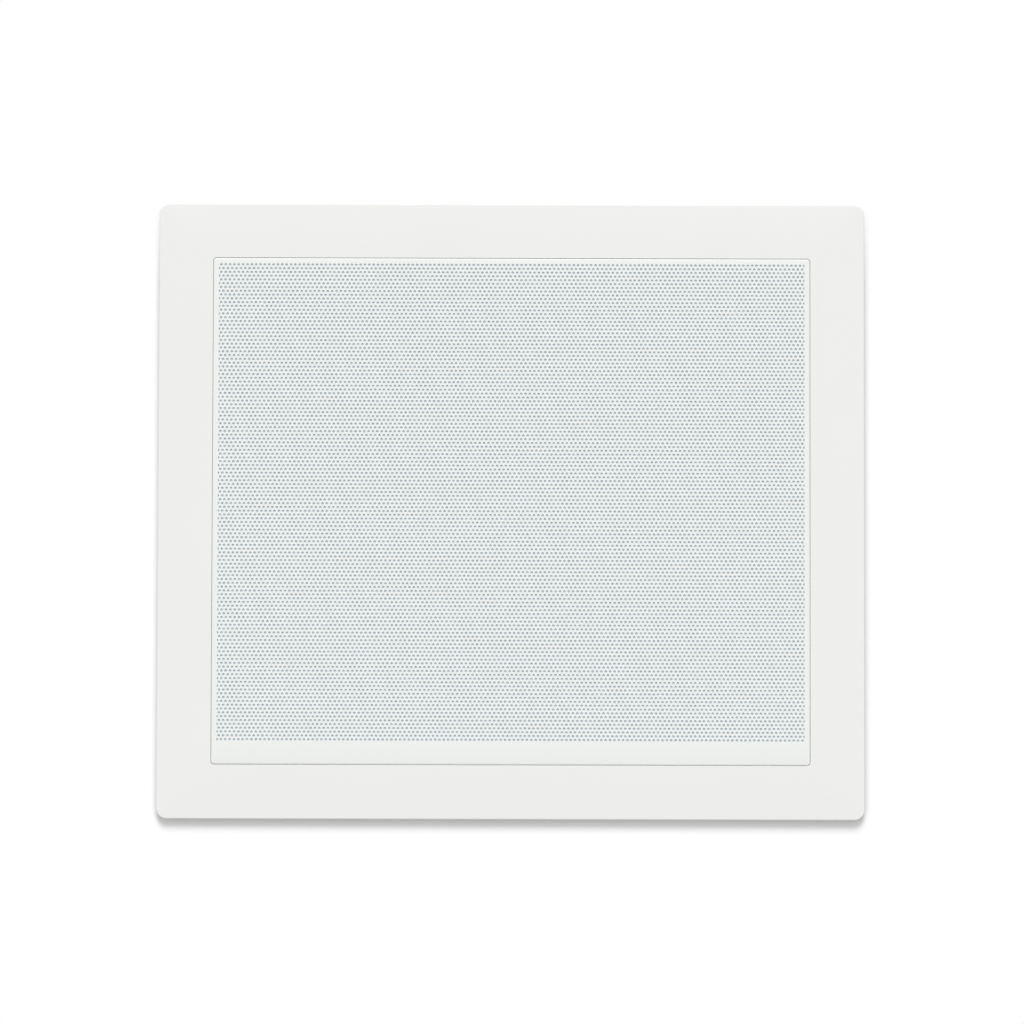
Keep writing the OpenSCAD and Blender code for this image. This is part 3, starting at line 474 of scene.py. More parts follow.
def new_tree(name, sockets):
    """A Geometry Nodes tree with named inputs and one mesh out: returns it and the sockets of its inputs."""
    tree = bpy.data.node_groups.new(name, "GeometryNodeTree")
    for label, kind in sockets:
        tree.interface.new_socket(label, in_out="INPUT", socket_type="NodeSocket" + kind)
    tree.interface.new_socket("Mesh", in_out="OUTPUT", socket_type="NodeSocketGeometry")
    return tree, add(tree, "NodeGroupInput").outputs


def rows_tree():
    """Geometry Nodes: repeats a cell in staggered rows and welds the copies."""
    tree, given = new_tree("staggered_rows", (
        ("Cell", "Geometry"), ("Columns", "Int"), ("Rows", "Int"), ("Column Spacing", "Float"),
        ("Row Spacing", "Float"), ("Stagger", "Float"), ("Start", "Vector"), ("Finish", "Material")))
    index = add(tree, "GeometryNodeInputIndex").outputs[0]
    count = add(tree, "ShaderNodeMath", {0: given["Columns"], 1: given["Rows"]}, operation="MULTIPLY")
    column = add(tree, "ShaderNodeMath", {0: index, 1: given["Columns"]}, operation="MODULO")
    row = add(tree, "ShaderNodeMath", {0: index, 1: given["Columns"]}, operation="DIVIDE")
    row = add(tree, "ShaderNodeMath", {0: row.outputs[0]}, operation="FLOOR")
    odd = add(tree, "ShaderNodeMath", {0: row.outputs[0], 1: 2.0}, operation="MODULO")
    x = add(tree, "ShaderNodeMath", {0: column.outputs[0], 1: given["Column Spacing"]}, operation="MULTIPLY")
    shift = add(tree, "ShaderNodeMath", {0: odd.outputs[0], 1: given["Stagger"]}, operation="MULTIPLY")
    x = add(tree, "ShaderNodeMath", {0: x.outputs[0], 1: shift.outputs[0]}, operation="ADD")
    y = add(tree, "ShaderNodeMath", {0: row.outputs[0], 1: given["Row Spacing"]}, operation="MULTIPLY")
    place = add(tree, "ShaderNodeCombineXYZ", {0: x.outputs[0], 1: y.outputs[0]})
    place = add(tree, "ShaderNodeVectorMath", {0: place.outputs[0], 1: given["Start"]}, operation="ADD")
    spots = add(tree, "GeometryNodePoints", {"Count": count.outputs[0], "Position": place.outputs[0]})
    copies = add(tree, "GeometryNodeInstanceOnPoints", {
        "Points": spots.outputs[0], "Instance": given["Cell"]})
    solid = add(tree, "GeometryNodeRealizeInstances", {0: copies.outputs[0]})
    weld = add(tree, "GeometryNodeMergeByDistance", {0: solid.outputs[0], "Distance": 2e-6})
    coated = add(tree, "GeometryNodeSetMaterial", {0: weld.outputs[0], "Material": given["Finish"]})
    add(tree, "NodeGroupOutput", {0: coated.outputs[0]})
    return tree


def with_nodes(mesh, tree, values):
    """A plain mesh: the given one after a Geometry Nodes tree with these inputs."""
    helper = bpy.data.objects.new("helper", mesh)
    bpy.context.scene.collection.objects.link(helper)
    modifier = helper.modifiers.new("nodes", "NODES")
    modifier.node_group = tree
    for item in tree.interface.items_tree:
        if item.item_type == "SOCKET" and item.in_out == "INPUT" and item.name in values:
            modifier[item.identifier] = values[item.name]
    graph = bpy.context.evaluated_depsgraph_get()
    result = bpy.data.meshes.new_from_object(helper.evaluated_get(graph), depsgraph=graph)
    bpy.data.objects.remove(helper)
    return result


def wall_up(bm):
    """Joins the open edges of a sheet's front and back with side walls."""
    bm.verts.ensure_lookup_table()
    back = {}
    for v in bm.verts:
        if abs(v.co.z) > SHEET / 2:
            back[(round(v.co.x * 1e6), round(v.co.y * 1e6))] = v

    def partner(v):
        x, y = round(v.co.x * 1e6), round(v.co.y * 1e6)
        for dx in (0, -1, 1):
            for dy in (0, -1, 1):
                if (x + dx, y + dy) in back:
                    return back[(x + dx, y + dy)]
        raise RuntimeError("a front point has no back point")

    for e in [e for e in bm.edges if e.is_boundary and all(abs(v.co.z) < SHEET / 2 for v in e.verts)]:
        a, b = e.verts
        if e.link_loops[0].vert is not a:
            a, b = b, a
        # the face runs a to b, so the wall runs b to a
        bm.faces.new((b, a, partner(a), partner(b)))


def make_grille():
    """Perforated sheet in four bands, with its plain margin and folded edge."""
    tree = rows_tree()
    cells = {part: hole_cell(part) for part in ("whole", "left", "right")}
    left_x = -(HOLE_COLUMNS + 0.5) * PITCH / 2
    right_x = -left_x
    # the first row of each band; four bands keep each piece under the limit on triangles
    starts = [0, 32, 64, 95, HOLE_ROWS]
    for band in range(4):
        first, after = starts[band], starts[band + 1]
        rows = after - first
        y = FIRST_ROW_Y + first * ROW_PITCH
        parity = first % 2
        # even rows begin with a whole cell at the left, odd rows with a half one
        lead = left_x + PITCH / 2 + (PITCH / 2 if parity else 0)
        parts = [with_nodes(cells["whole"].copy(), tree, {
            "Columns": HOLE_COLUMNS, "Rows": rows, "Column Spacing": PITCH, "Row Spacing": ROW_PITCH,
            "Stagger": -PITCH / 2 if parity else PITCH / 2, "Start": (lead, y, 0.0), "Finish": GRILLE_COAT})]
        # a half hole ends each even row at the right and begins each odd row at the left
        for part, wanted, x in (("left", 0, right_x), ("right", 1, left_x)):
            skip = 0 if parity == wanted else 1
            count = (rows - skip + 1) // 2
            parts.append(with_nodes(cells[part].copy(), tree, {
                "Columns": 1, "Rows": count, "Column Spacing": PITCH, "Row Spacing": 2 * ROW_PITCH,
                "Stagger": 0.0, "Start": (x, y + skip * ROW_PITCH, 0.0), "Finish": GRILLE_COAT}))
        bm = bmesh.new()
        for mesh in parts:
            bm.from_mesh(mesh)
        bmesh.ops.remove_doubles(bm, verts=bm.verts, dist=3e-6)
        wall_up(bm)
        new_piece(f"grille_band_{band + 1}", mesh_of(bm, "grille_band", 60), GRILLE_COAT,
                  "speaker_frame")
    edge = make_grille_edge(left_x, right_x)
    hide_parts("grille")


def make_grille_edge(left_x, right_x):
    """The sheet's plain margin, and the edge folded up round it."""
    arc = 6

    def loop(bm, inset, z):
        radius = max(CORNER - inset, 0.0)
        half_w, half_d = GRILLE_W / 2 - inset, GRILLE_D / 2 - inset
        points = []
        for sx, sy, start in ((1, 1, 0), (-1, 1, 90), (-1, -1, 180), (1, -1, 270)):
            for k in range(arc + 1):
                a = math.radians(start + 90 * k / arc)
                points.append(bm.verts.new((sx * (half_w - radius) + radius * math.cos(a),
                                            sy * (half_d - radius) + radius * math.sin(a), z)))
        return points

    def field(bm, z):
        low, high = FIRST_ROW_Y - ROW_PITCH / 2, FIRST_ROW_Y + (HOLE_ROWS - 0.5) * ROW_PITCH
        points = []
        for x, y in ((right_x, high), (left_x, high), (left_x, low), (right_x, low)):
            points += [bm.verts.new((x, y, z)) for k in range(arc + 1)]
        return points

    bm = bmesh.new()
    bends = [math.radians(90 * k / arc) for k in range(arc + 1)]
    inner = FOLD - SHEET
    loops = [loop(bm, 0, GRILLE_H)]
    loops += [loop(bm, FOLD - FOLD * math.cos(a), FOLD - FOLD * math.sin(a)) for a in bends]
    loops += [field(bm, 0), field(bm, SHEET)]
    loops += [loop(bm, FOLD - inner * math.cos(a), FOLD - inner * math.sin(a)) for a in reversed(bends)]
    loops += [loop(bm, SHEET, GRILLE_H)]
    count = len(loops[0])
    for i, here in enumerate(loops):
        there = loops[(i + 1) % len(loops)]
        for k in range(count):
            n = (k + 1) % count
            bm.faces.new((here[k], here[n], there[n], there[k]))
    closed(bm, 2e-6)
    return new_piece("grille_edge", mesh_of(bm, "grille_edge", 40), GRILLE_COAT, "speaker_frame")


def make_cloth():
    """Scrim stretched behind the holes, with a slack of a few hundredths of a millimetre."""
    low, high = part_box("grille_cloth")
    columns, rows = 68, 58
    inset, ripple = 0.05 * MM, 0.04 * MM
    bm = bmesh.new()
    layers = []
    for z in (low.z + inset, high.z - inset):
        layer = []
        for j in range(rows + 1):
            for i in range(columns + 1):
                x = low.x + (high.x - low.x) * i / columns
                y = low.y + (high.y - low.y) * j / rows
                slack = ripple * math.sin(i * 1.7 + j * 0.6) * math.sin(j * 1.3)
                layer.append(bm.verts.new((x, y, z + slack)))
        layers.append(layer)
    width = columns + 1
    for j in range(rows):
        for i in range(columns):
            a, b, c, d = j * width + i, j * width + i + 1, (j + 1) * width + i + 1, (j + 1) * width + i
            bm.faces.new([layers[0][k] for k in (a, d, c, b)])
            bm.faces.new([layers[1][k] for k in (a, b, c, d)])
    rim = (list(range(columns)) + [j * width + columns for j in range(rows)]
           + [rows * width + i for i in range(columns, 0, -1)] + [j * width for j in range(rows, 0, -1)])
    for k, a in enumerate(rim):
        b = rim[(k + 1) % len(rim)]
        bm.faces.new((layers[0][a], layers[0][b], layers[1][b], layers[1][a]))
    bmesh.ops.recalc_face_normals(bm, faces=bm.faces)
    cloth = new_piece("scrim_behind_grille", mesh_of(bm, "scrim"), SCRIM, "speaker_frame",
                      ("grille_cloth",))


# Pieces behind the face

def smooth(mesh, angle=35):
    """The mesh, shaded smooth up to an angle in degrees."""
    bm = bmesh.new()
    bm.from_mesh(mesh)
    return mesh_of(bm, mesh.name, angle)


def tube(bm, points, radius, sides):
    """A round tube along points in metres, closed at both ends."""
    last = len(points) - 1
    ways = [(points[min(i + 1, last)] - points[max(i - 1, 0)]).normalized() for i in range(len(points))]
    across = ways[0].orthogonal().normalized()
    rings = []
    for point, way in zip(points, ways):
        across = (across - way * across.dot(way)).normalized()
        other = way.cross(across)
        angles = [2 * math.pi * k / sides for k in range(sides)]
        rings.append([bm.verts.new(point + radius * (math.cos(a) * across + math.sin(a) * other))
                      for a in angles])
    for here, there in zip(rings, rings[1:]):
        for k in range(sides):
            n = (k + 1) % sides
            bm.faces.new((here[k], here[n], there[n], there[k]))
    bm.faces.new(rings[0][::-1])
    bm.faces.new(rings[-1])


def through(points, steps=10):
    """Points on the smooth curve through the given ones, which are in millimetres."""
    given = [Vector(p) * MM for p in points]
    out = []
    for i in range(len(given) - 1):
        a, b, c, d = given[max(i - 1, 0)], given[i], given[i + 1], given[min(i + 2, len(given) - 1)]
        for k in range(steps):
            t = k / steps
            out.append(0.5 * (2 * b + (c - a) * t + (2 * a - 5 * b + 4 * c - d) * t * t
                              + (3 * b - a - 3 * c + d) * t ** 3))
    out.append(given[-1])
    return out


def wound_wire_tree():
    """Geometry Nodes: a wire wound into a close helix, joined to the core that it lies on."""
    tree, given = new_tree("wound_wire", (
        ("Core", "Geometry"), ("Radius", "Float"), ("Height", "Float"), ("Turns", "Float"), ("Wire", "Float"),
        ("Steps", "Int"), ("Sides", "Int"), ("Tilt", "Vector"), ("Start", "Vector"), ("Finish", "Material")))
    path = add(tree, "GeometryNodeCurveSpiral", {
        "Resolution": given["Steps"], "Rotations": given["Turns"], "Start Radius": given["Radius"],
        "End Radius": given["Radius"], "Height": given["Height"]})
    section = add(tree, "GeometryNodeCurvePrimitiveCircle", {
        "Resolution": given["Sides"], "Radius": given["Wire"]})
    wire = add(tree, "GeometryNodeCurveToMesh", {
        "Curve": path.outputs[0], "Profile Curve": section.outputs[0], "Fill Caps": True})
    placed = add(tree, "GeometryNodeTransform", {
        "Geometry": wire.outputs[0], "Translation": given["Start"], "Rotation": given["Tilt"]})
    joined = add(tree, "GeometryNodeJoinGeometry", {0: placed.outputs[0]})
    tree.links.new(given["Core"], joined.inputs[0])
    solid = add(tree, "GeometryNodeRealizeInstances", {0: joined.outputs[0]})
    coated = add(tree, "GeometryNodeSetMaterial", {0: solid.outputs[0], "Material": given["Finish"]})
    add(tree, "NodeGroupOutput", {0: coated.outputs[0]})
    return tree


def body_of(node):
    """The body that a CAD node rides on."""
    for body, nodes in frame["record"]["behaviour"]["bodies"].items():
        if node in nodes:
            return body
    raise RuntimeError("no body holds " + node)


def merged_copy(node, angle=35, edge=0.0):
    """A node's own mesh, its doubles merged and its curves smooth. edge rounds its sharp edges."""
    bm = bmesh.new()
    bm.from_mesh(frame["nodes"][node].data)
    closed(bm, 2e-6)
    if edge:
        limit = math.radians(angle)
        bmesh.ops.dissolve_limit(bm, angle_limit=math.radians(1), verts=bm.verts, edges=bm.edges)
        sharp = [e for e in bm.edges if len(e.link_faces) == 2 and e.calc_face_angle(0) > limit]
        bmesh.ops.bevel(bm, geom=sharp, offset=edge, segments=2, profile=0.5, affect="EDGES",
                        clamp_overlap=True)
    return mesh_of(bm, node, angle)


def wind(node, piece_name, material, wire_mm, axis="Z", steps=64):
    """One layer of round wire for a plain winding, over a sleeve that stands for the layers below."""
    low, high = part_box(node)
    middle = (low + high) / 2
    wire = wire_mm * MM
    outer = (high.x - low.x) / 2
    height = (high.z - low.z) if axis == "Z" else (high.y - low.y)
    turns = math.floor(height / wire) - 1
    bore, sleeve = outer * 0.6, outer - wire * 0.6
    bm = bmesh.new()
    lathe(bm, [(bore, -height / 2), (sleeve, -height / 2), (sleeve, height / 2), (bore, height / 2)],
          (0, 0, 0), steps)
    closed(bm)
    if axis == "Y":
        turn(bm, 90, "X")
    bmesh.ops.translate(bm, verts=bm.verts, vec=middle)
    core = mesh_of(bm, piece_name)
    run = turns * wire
    start = middle - Vector((0, 0, run / 2)) if axis == "Z" else middle + Vector((0, run / 2, 0))
    mesh = with_nodes(core, WOUND_WIRE, {
        "Radius": outer - wire / 2, "Height": run, "Turns": float(turns), "Wire": wire / 2, "Steps": steps,
        "Sides": 8, "Tilt": (0.0, 0.0, 0.0) if axis == "Z" else (math.radians(90), 0.0, 0.0),
        "Start": tuple(start), "Finish": material})
    new_piece(piece_name, smooth(mesh, 50), material, body_of(node), (node,))


def make_clamp_screws(material):
    """The plain clamp screws with their coarse thread: a root turned down, and a crest wound round it."""
    shank_r, root_share, crest_r, crest_wire, pitch = 0.00205, 0.84, 0.00158, 0.0004, 0.0014
    # heights over the screw's low end: where the root begins, and where the crest does
    root_up, crest_up, crest_short = 0.0035, 0.0095, 0.0008
    for i in range(1, 5):
        node = f"clamp_screw_{i}"
        low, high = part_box(node)
        x, y = (low.x + high.x) / 2, (low.y + high.y) / 2
        bm = bmesh.new()
        bm.from_mesh(frame["nodes"][node].data)
        closed(bm, 2e-6)
        for v in bm.verts:
            r = math.hypot(v.co.x - x, v.co.y - y)
            if v.co.z > low.z + root_up and r < shank_r:
                v.co.x = x + (v.co.x - x) * root_share
                v.co.y = y + (v.co.y - y) * root_share
        core = mesh_of(bm, node)
        start = low.z + crest_up
        run = high.z - crest_short - start
        mesh = with_nodes(core, WOUND_WIRE, {
            "Radius": crest_r, "Height": run, "Turns": run / pitch, "Wire": crest_wire, "Steps": 20,
            "Sides": 4, "Tilt": (0.0, 0.0, 0.0), "Start": (x, y, start), "Finish": material})
        new_piece(f"clamp_screw_{i}_threaded", smooth(mesh, 40), material, body_of(node),
                  (node,))


def follow_cone(piece):
    """Bakes a ring's placement into its mesh; the ring rides on no body and is not made to bend with the
    cone.
    """
    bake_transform(piece)


def make_surround(material):
    """Half roll of rubber between the cone's edge and the basket."""
    roll_x, roll_r, thick = 0.0855, 0.0045, 0.0008
    lip_in, lip_out = 0.077, 0.095
    inner = [(roll_x - (roll_r - thick / 2) * math.cos(math.radians(a)),
              -(roll_r - thick / 2) * math.sin(math.radians(a))) for a in range(0, 181, 12)]
    outer = [(roll_x + (roll_r + thick / 2) * math.cos(math.radians(a)),
              -(roll_r + thick / 2) * math.sin(math.radians(a))) for a in range(12, 169, 12)]
    profile = [(lip_in, 0.0)] + inner + [(lip_out, 0.0), (lip_out, -thick)] + outer + [(lip_in, -thick)]
    bm = bmesh.new()
    lathe(bm, profile, WOOFER, 144)
    closed(bm)
    piece = new_piece("rubber_surround", mesh_of(bm, "surround", 50), material, None,
                      ("woofer_surround",))
    follow_cone(piece)


def make_spider(material):
    """Corrugated cloth disc that centres the voice coil, with a collar glued to the coil's former."""
    level, swing, thick = 0.0344, 0.0016, 0.0005
    low, high, waves = 0.0223, 0.051, 5
    top = [(0.0194, level - 0.003), (0.0205, level - 0.003), (0.0206, level - 0.0006), (0.0211, level)]
    steps = 60
    for k in range(steps + 1):
        r = low + (high - low) * k / steps
        top.append((r, level - swing * 0.5 * (1 - math.cos(2 * math.pi * waves * k / steps))))
    top += [(0.053, level), (0.057, level)]
    under = [(r, z + thick) for r, z in reversed(top[3:])] + [(0.0194, level + thick)]
    bm = bmesh.new()
    lathe(bm, top + under, WOOFER, 120)
    closed(bm)
    piece = new_piece("corrugated_spider", mesh_of(bm, "spider", 60), material, None,
                      ("woofer_spider",))
    follow_cone(piece)


# points along each lead in millimetres, the same as in the part's source
LEADS = {
    "woofer_lead_red": [
        (65.6, 93, 25.8), (65.2, 92.4, 28.5), (62.6, 89, 30.5), (56.5, 79, 30), (49, 62, 29.5),
        (42, 42, 31), (36.5, 24, 36), (33.6, 12, 40.5), (33, 5.6, 41)],
    "woofer_lead_black": [
        (65.6, 85, 25.8), (65.3, 84.4, 28.5), (63, 80, 30.5), (57.5, 68, 30), (52, 52, 29.5),
        (46.5, 33, 31), (42.5, 14, 35), (39, 1, 39.6), (32.7, -4.4, 41)],
    "tweeter_lead_red": [
        (98, 68, 25.8), (98, 67.7, 28.5), (98.8, 65, 31), (100, 59, 32), (101.3, 51, 32.2),
        (102.3, 43, 31.6), (102.8, 36.3, 31)],
    "tweeter_lead_black": [
        (105, 68, 25.8), (105.1, 67.7, 28.5), (106.4, 65, 31), (109, 59, 32), (111.3, 51, 32.2),
        (112.4, 43, 31.6), (112.8, 36.3, 31)],
}


def make_leads(finishes):
    """Insulated leads along the routes that the part's source gives, with bared and soldered ends."""
    lead_r, core_r, bead_r = 0.001, 0.0005, 0.0008
    ends = bmesh.new()
    for node, route in LEADS.items():
        points = through(route)
        bm = bmesh.new()
        tube(bm, points[2:-3], lead_r, 16)
        slot = "lead_red" if "red" in node else "lead_black"
        new_piece(node + "_insulated", mesh_of(bm, node, 50), finishes[slot], "speaker_frame", (node,))
        tube(ends, points[:3], core_r, 8)
        tube(ends, points[-4:], core_r, 8)
        solder(ends, points[0])
        bmesh.ops.create_uvsphere(ends, u_segments=12, v_segments=8, radius=bead_r,
                                  matrix=Matrix.Translation(points[-1]))
    new_piece("soldered_lead_ends", mesh_of(ends, "lead_ends", 50), finishes["tag_brass"], "speaker_frame")


def solder(bm, foot):
    """A fillet of solder: wide on the pad, and drawn up round the wire."""
    lathe(bm, [(0, -0.0001), (0.0013, -0.0001), (0.00125, 0.0001), (0.0008, 0.0004), (0.0006, 0.0009),
               (0, 0.0011)], foot, 16)


def make_board_copper(finishes):
    """Traces under the mask, and pads with solder where wires meet the board."""
    # millimetres from the middle of the board
    routes = [
        [(39, -17), (39, -26), (-4, -26), (-4, -25)], [(39, -7), (30, -7), (30, -2), (26.5, -2)],
        [(-2.5, -2), (-2.5, 8), (15.5, 8), (15.5, 13)], [(44.5, 13), (44.5, 28), (-34.6, 28), (-34.6, 9.8)],
        [(-37.7, -14.3), (-43.4, -14.3), (-43.4, -8)], [(-34.6, 9.8), (-43.4, 9.8), (-43.4, 0)],
        [(-11, -25), (-11, -12), (-2.5, -12), (-2.5, -2)], [(30, -7), (30, -18), (25.5, -18)],
        [(-1.5, -18), (-11, -18)], [(-10.8, 22), (-18, 22), (-18, 28)], [(14.8, 22), (22, 22), (22, 28)]]
    pads = ((26.5, -2), (-2.5, -2), (15.5, 13), (44.5, 13), (-37.7, -14.3), (-34.6, 9.8), (25.5, -18),
            (-1.5, -18), (-10.8, 22), (14.8, 22))
    half_w, half_t = 0.0011, 0.00005
    bm = bmesh.new()
    for route in routes:
        for (x0, y0), (x1, y1) in zip(route, route[1:]):
            low = Vector((min(x0, x1) * MM - half_w, min(y0, y1) * MM - half_w, -half_t)) + BOARD
            high = Vector((max(x0, x1) * MM + half_w, max(y0, y1) * MM + half_w, half_t)) + BOARD
            for v in bmesh.ops.create_cube(bm, size=1.0)["verts"]:
                v.co = Vector(((low[k] + high[k]) / 2 + v.co[k] * (high[k] - low[k]) for k in range(3)))
    new_piece("board_traces", mesh_of(bm, "board_traces"), finishes["trace"], "speaker_frame")
    bm = bmesh.new()
    for x, y in pads:
        solder(bm, BOARD + Vector((x, y, 0)) * MM)
    closed(bm)
    new_piece("board_solder", mesh_of(bm, "board_solder", 50), finishes["tag_brass"], "speaker_frame")


def make_wire_ends(finishes):
    """The coils' wire ends, the resistor's wires and their bends down to the board."""
    bm = bmesh.new()
    # the woofer inductor's ends leave its rim 13.5 mm from its middle, at two angles
    coil_x, coil_y, rim = -23, -4, 13.5
    for angle, x, y in ((215, -37.7, -14.3), (130, -34.6, 9.8)):
        c, d = math.cos(math.radians(angle)), math.sin(math.radians(angle))
        points = [(coil_x + rim * c + 4 * d, coil_y + rim * d - 4 * c, 8),
                  (coil_x + 15 * c + 1.5 * d, coil_y + 15 * d - 1.5 * c, 7.6),
                  (coil_x + 17 * c, coil_y + 17 * d, 6.4), (x, y, 4), (x, y, 0.2)]
        tube(bm, [BOARD + p for p in through(points, 6)], 0.00045, 8)
    for side in (-1, 1):
        x = 2 + side * 12.8
        points = [(2 + side * 9.6, 22, 15), (2 + side * 11.6, 22, 13), (x, 22, 10.5), (x, 22, 6),
                  (x, 22, 0.2)]
        tube(bm, [BOARD + p for p in through(points, 6)], 0.00035, 8)
    new_piece("coil_wire_ends", mesh_of(bm, "coil_wire_ends", 50), finishes["copper"], "speaker_frame")
    bm = bmesh.new()
    for start, x in ((0.2, -1.5), (23.8, 25.5)):
        away = -1 if x < 12 else 1
        points = [(start, -18, 4.5), (start + away * 0.8, -18, 4.5), (x, -18, 3.6), (x, -18, 0.2)]
        tube(bm, [BOARD + p for p in through(points, 6)], 0.0004, 8)
    new_piece("resistor_wires", mesh_of(bm, "resistor_wires", 50), finishes["tag_brass"], "speaker_frame")


def make_axial(node, piece_name, x, y, radius, profile, finishes, slot, end_finish):
    """A capacitor on its side: a turned can along X, its end discs, and a wire bent down at each end.

    The profile has (distance along the can, radius) points in millimetres.
    """
    centre = BOARD + Vector((x, y, radius + 0.1)) * MM
    bm = bmesh.new()
    lathe(bm, [(r * MM, z * MM) for z, r in profile], (0, 0, 0), 56)
    closed(bm)
    turn(bm, 90, "Y")
    bmesh.ops.translate(bm, verts=bm.verts, vec=centre)
    new_piece(piece_name, mesh_of(bm, piece_name, 40), finishes[slot], "speaker_frame", (node,))
    wide, slim = radius * 0.86 * MM, radius * 0.3 * MM
    disc = [(0, 11.3 * MM), (wide, 11.3 * MM), (wide, 11.6 * MM), (slim, 11.8 * MM), (0, 11.8 * MM)]
    bm = bmesh.new()
    # the half turn after each disc puts one at each end
    for _ in range(2):
        lathe(bm, disc, (0, 0, 0), 40)
        turn(bm, 180, "X")
    closed(bm)
    turn(bm, 90, "Y")
    bmesh.ops.translate(bm, verts=bm.verts, vec=centre)
    new_piece(piece_name + "_ends", mesh_of(bm, piece_name + "_ends", 40), end_finish, "speaker_frame")
    bm = bmesh.new()
    for side in (-1, 1):
        points = [(x + side * 11.5, y, radius + 0.1), (x + side * 13.4, y, radius + 0.1),
                  (x + side * 14.3, y, radius - 0.6), (x + side * 14.5, y, radius - 2),
                  (x + side * 14.5, y, 0.2)]
        tube(bm, [BOARD + p for p in through(points, 5)], 0.0004, 8)
    new_piece(piece_name + "_wires", mesh_of(bm, piece_name + "_wires", 50), finishes["tag_brass"],
              "speaker_frame")


def make_finishes():
    """One finish for each of the record's material slots, and a few that only the added pieces use."""
    return {
        "frame_plastic": WHITE_ABS,
        "grille_paint": GRILLE_COAT,
        "grille_cloth": SCRIM,
        # nickel-plated magnets: bright and slightly warm
        "nickel": plated("nickel_plate", "#B9B6AE", "#CFCCC4", 0.22),
        # closed-cell foam: matte, with cells near 0.5 mm drawn at 1.5 mm
        "gasket_foam": moulded("foam_gasket", "#151516", "#1F1F20", 0.9, 1.5, 0.3),
        # stove enamel on pressed steel: satin black with a slight orange peel
        "basket_paint": moulded("black_stove_enamel", "#1A1B1D", "#212224", 0.4, 1.2, 0.05),
        "surround_rubber": moulded("butyl_rubber", "#141415", "#1B1B1C", 0.62, 1.0, 0.05),
        # moulded polypropylene: a soft gloss over nearly black
        "cone_plastic": moulded("moulded_polypropylene", "#1C1D1F", "#27282A", 0.36, 1.0, 0.03),
        # cotton dipped in phenolic resin: threads 0.5 mm apart, drawn at 0.9 mm
        "spider_cloth": woven("resin_dipped_cotton", "#A0762F", "#C79C50", 0.9, WOOFER, 0.8),
        "former_aluminium": plated("aluminium_foil", "#C2C4C6", "#D3D5D7", 0.3),
        # copper under clear enamel: deep orange, with a sharp gloss
        "copper": plated("enamelled_copper", "#A8532A", "#C9713C", 0.24),
        "plate_steel": plated("turned_zinc_plated_steel", "#8F9293", "#A6A9AA", 0.36, WOOFER, 1.2),
        # ferrite pressed and ground: dark grey and matte, with coarse grains of 0.8 mm
        "ferrite": moulded("sintered_ferrite", "#2B2B2D", "#3B3B3D", 0.62, 2.0, 0.15),
        # paper laminate: warm brown with a soft gloss
        "phenolic": moulded("phenolic_laminate", "#5A3218", "#74431F", 0.45, 1.5, 0.04),
        "tag_brass": plated("tinned_brass", "#B9B8B2", "#D3D2CC", 0.28),
        "screw_steel": plated("blue_passivated_zinc", "#9EA4AA", "#B9BEC4", 0.28),
        "faceplate_plastic": moulded("black_moulded_abs", "#141516", "#1B1C1D", 0.45, 0.8, 0.05),
        "dome_silk": woven("coated_silk", "#0E0E10", "#1C1C1F", 0.7, TWEETER, 0.5),
        "board_green": circuit_board(),
        "bobbin_plastic": moulded("moulded_nylon", "#161617", "#202021", 0.5, 1.0, 0.04),
        # polyester tape wound round the capacitor: glossy yellow
        "film_yellow": moulded("polyester_tape", "#D9A514", "#E6B527", 0.22, 3.0, 0.06),
        "sleeve_blue": striped_sleeve(),
        # fired ceramic with a cement fill: chalky, with grains of 0.5 mm drawn at 1.2 mm
        "ceramic_white": moulded("cement_filled_ceramic", "#D4D1C6", "#E6E3DA", 0.88, 1.2, 0.25),
        "block_green": moulded("green_nylon", "#1E8A3C", "#259A47", 0.42, 1.0, 0.05),
        "lead_red": moulded("red_vinyl_insulation", "#A8151A", "#BC1D22", 0.4, 1.2, 0.03),
        "lead_black": moulded("black_vinyl_insulation", "#131314", "#1C1C1D", 0.4, 1.2, 0.03),
        "bracket_steel": plated("yellow_passivated_zinc", "#B3A987", "#CBC3A4", 0.34),
        # nylon with 30 % glass: black, with a rough bloom where the fibres reach the face
        "arm_plastic": moulded("glass_filled_nylon", "#161718", "#242526", 0.55, 0.9, 0.1),
        "trace": moulded("masked_copper_trace", "#1C7A45", "#218650", 0.26, 2.0, 0.02),
        "bung": moulded("rubber_bung", "#1A1A1B", "#242425", 0.7, 1.0, 0.05),
        "epoxy": moulded("cast_epoxy", "#E2C25E", "#EBCF74", 0.35, 3.0, 0.05),
    }


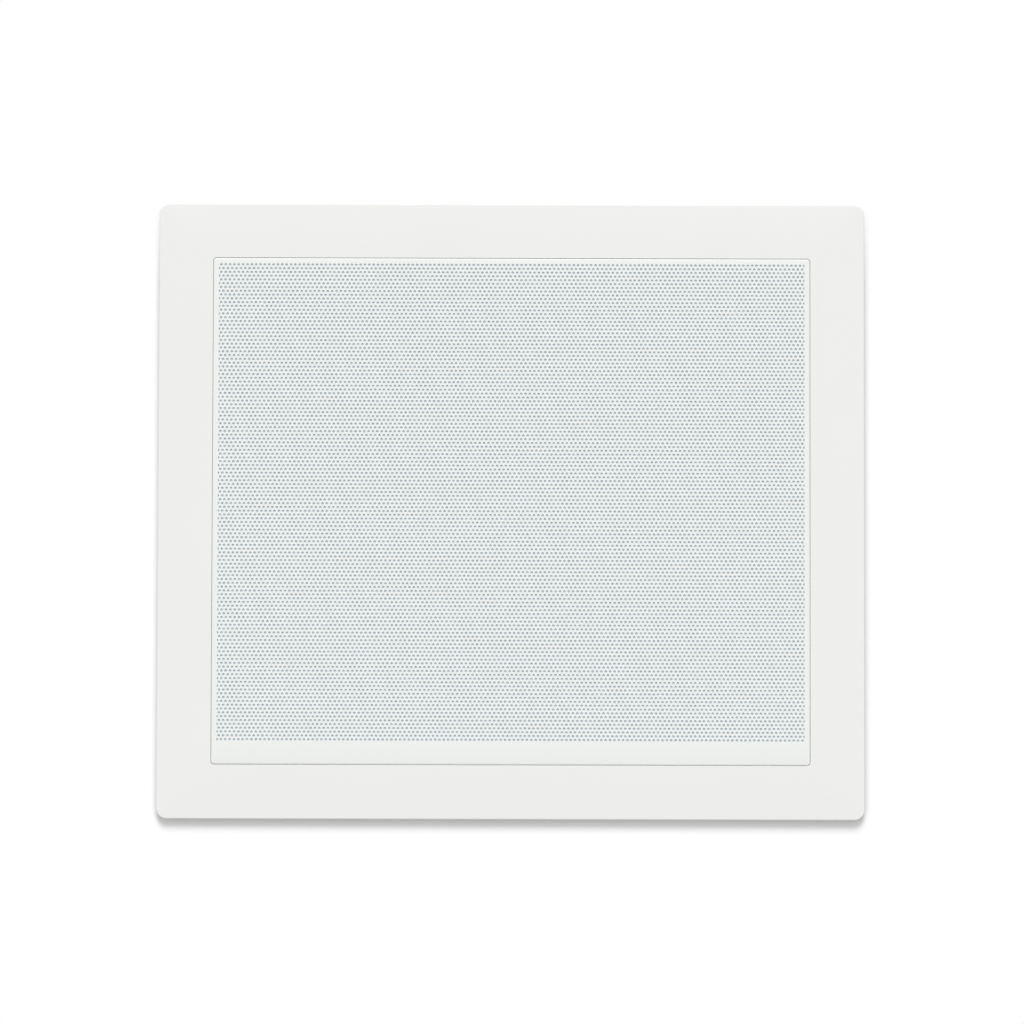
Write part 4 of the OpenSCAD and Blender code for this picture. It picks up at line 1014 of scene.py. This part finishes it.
def dress(finishes):
    """Gives every CAD node its finish, and shows most of them as merged copies whose curves are smooth."""
    slots = {entry["node"]: entry["material_slot"] for entry in frame["record"]["subparts"]}
    made_elsewhere = {"grille", "grille_cloth", "woofer_surround", "woofer_spider", "woofer_inductor_winding",
                      "tweeter_inductor_winding", "voice_coil_winding", "film_capacitor",
                      "electrolytic_capacitor"}
    made_elsewhere |= set(LEADS) | {f"clamp_screw_{i}" for i in range(1, 5)}
    rounded = {"woofer_magnet": 0.0003, "tweeter_magnet": 0.0003, "cement_resistor": 0.0004,
               "safety_bracket": 0.0002}
    turned = plated("turned_tweeter_plate", "#8F9293", "#A6A9AA", 0.36, TWEETER, 1.2)
    for name, node in frame["nodes"].items():
        material = finishes[slots[name]]
        if name in ("tweeter_yoke", "tweeter_top_plate"):
            material = turned
        node.data.materials.clear()
        node.data.materials.append(material)
        if name in made_elsewhere or name.startswith("tower_"):
            continue
        mesh = merged_copy(name, 35, rounded.get(name, 0.0))
        new_piece(name + "_finished", mesh, material, body_of(name), (name,))


make_camera()
make_lights()
make_stage()
WOUND_WIRE = wound_wire_tree()
finishes = make_finishes()
make_grille()
make_cloth()
dress(finishes)
make_surround(finishes["surround_rubber"])
make_spider(finishes["spider_cloth"])
wind("woofer_inductor_winding", "woofer_inductor_coil", finishes["copper"], 1.1)
wind("tweeter_inductor_winding", "tweeter_inductor_coil", finishes["copper"], 0.9, "Y")
wind("voice_coil_winding", "voice_coil_wire", finishes["copper"], 0.5, "Z", 72)
make_clamp_screws(finishes["screw_steel"])
make_leads(finishes)
make_board_copper(finishes)
make_wire_ends(finishes)
make_axial("electrolytic_capacitor", "electrolytic_can", 12, -2, 6,
           [(-11.2, 4.9), (-11.9, 5.1), (-12, 5.6), (-11.6, 6), (-9.4, 6), (-9, 5.8), (-8.6, 5.35),
            (-8.2, 5.35), (-7.8, 5.8), (-7.4, 6), (11.6, 6), (12, 5.6), (11.9, 5.1), (11.2, 4.9)],
           finishes, "sleeve_blue", finishes["bung"])
make_axial("film_capacitor", "film_capacitor_roll", 30, 13, 8,
           [(-11.2, 7.2), (-12, 7.4), (-12, 7.95), (-11.9, 8), (11.9, 8), (12, 7.95), (12, 7.4), (11.2, 7.2)],
           finishes, "film_yellow", finishes["epoxy"])
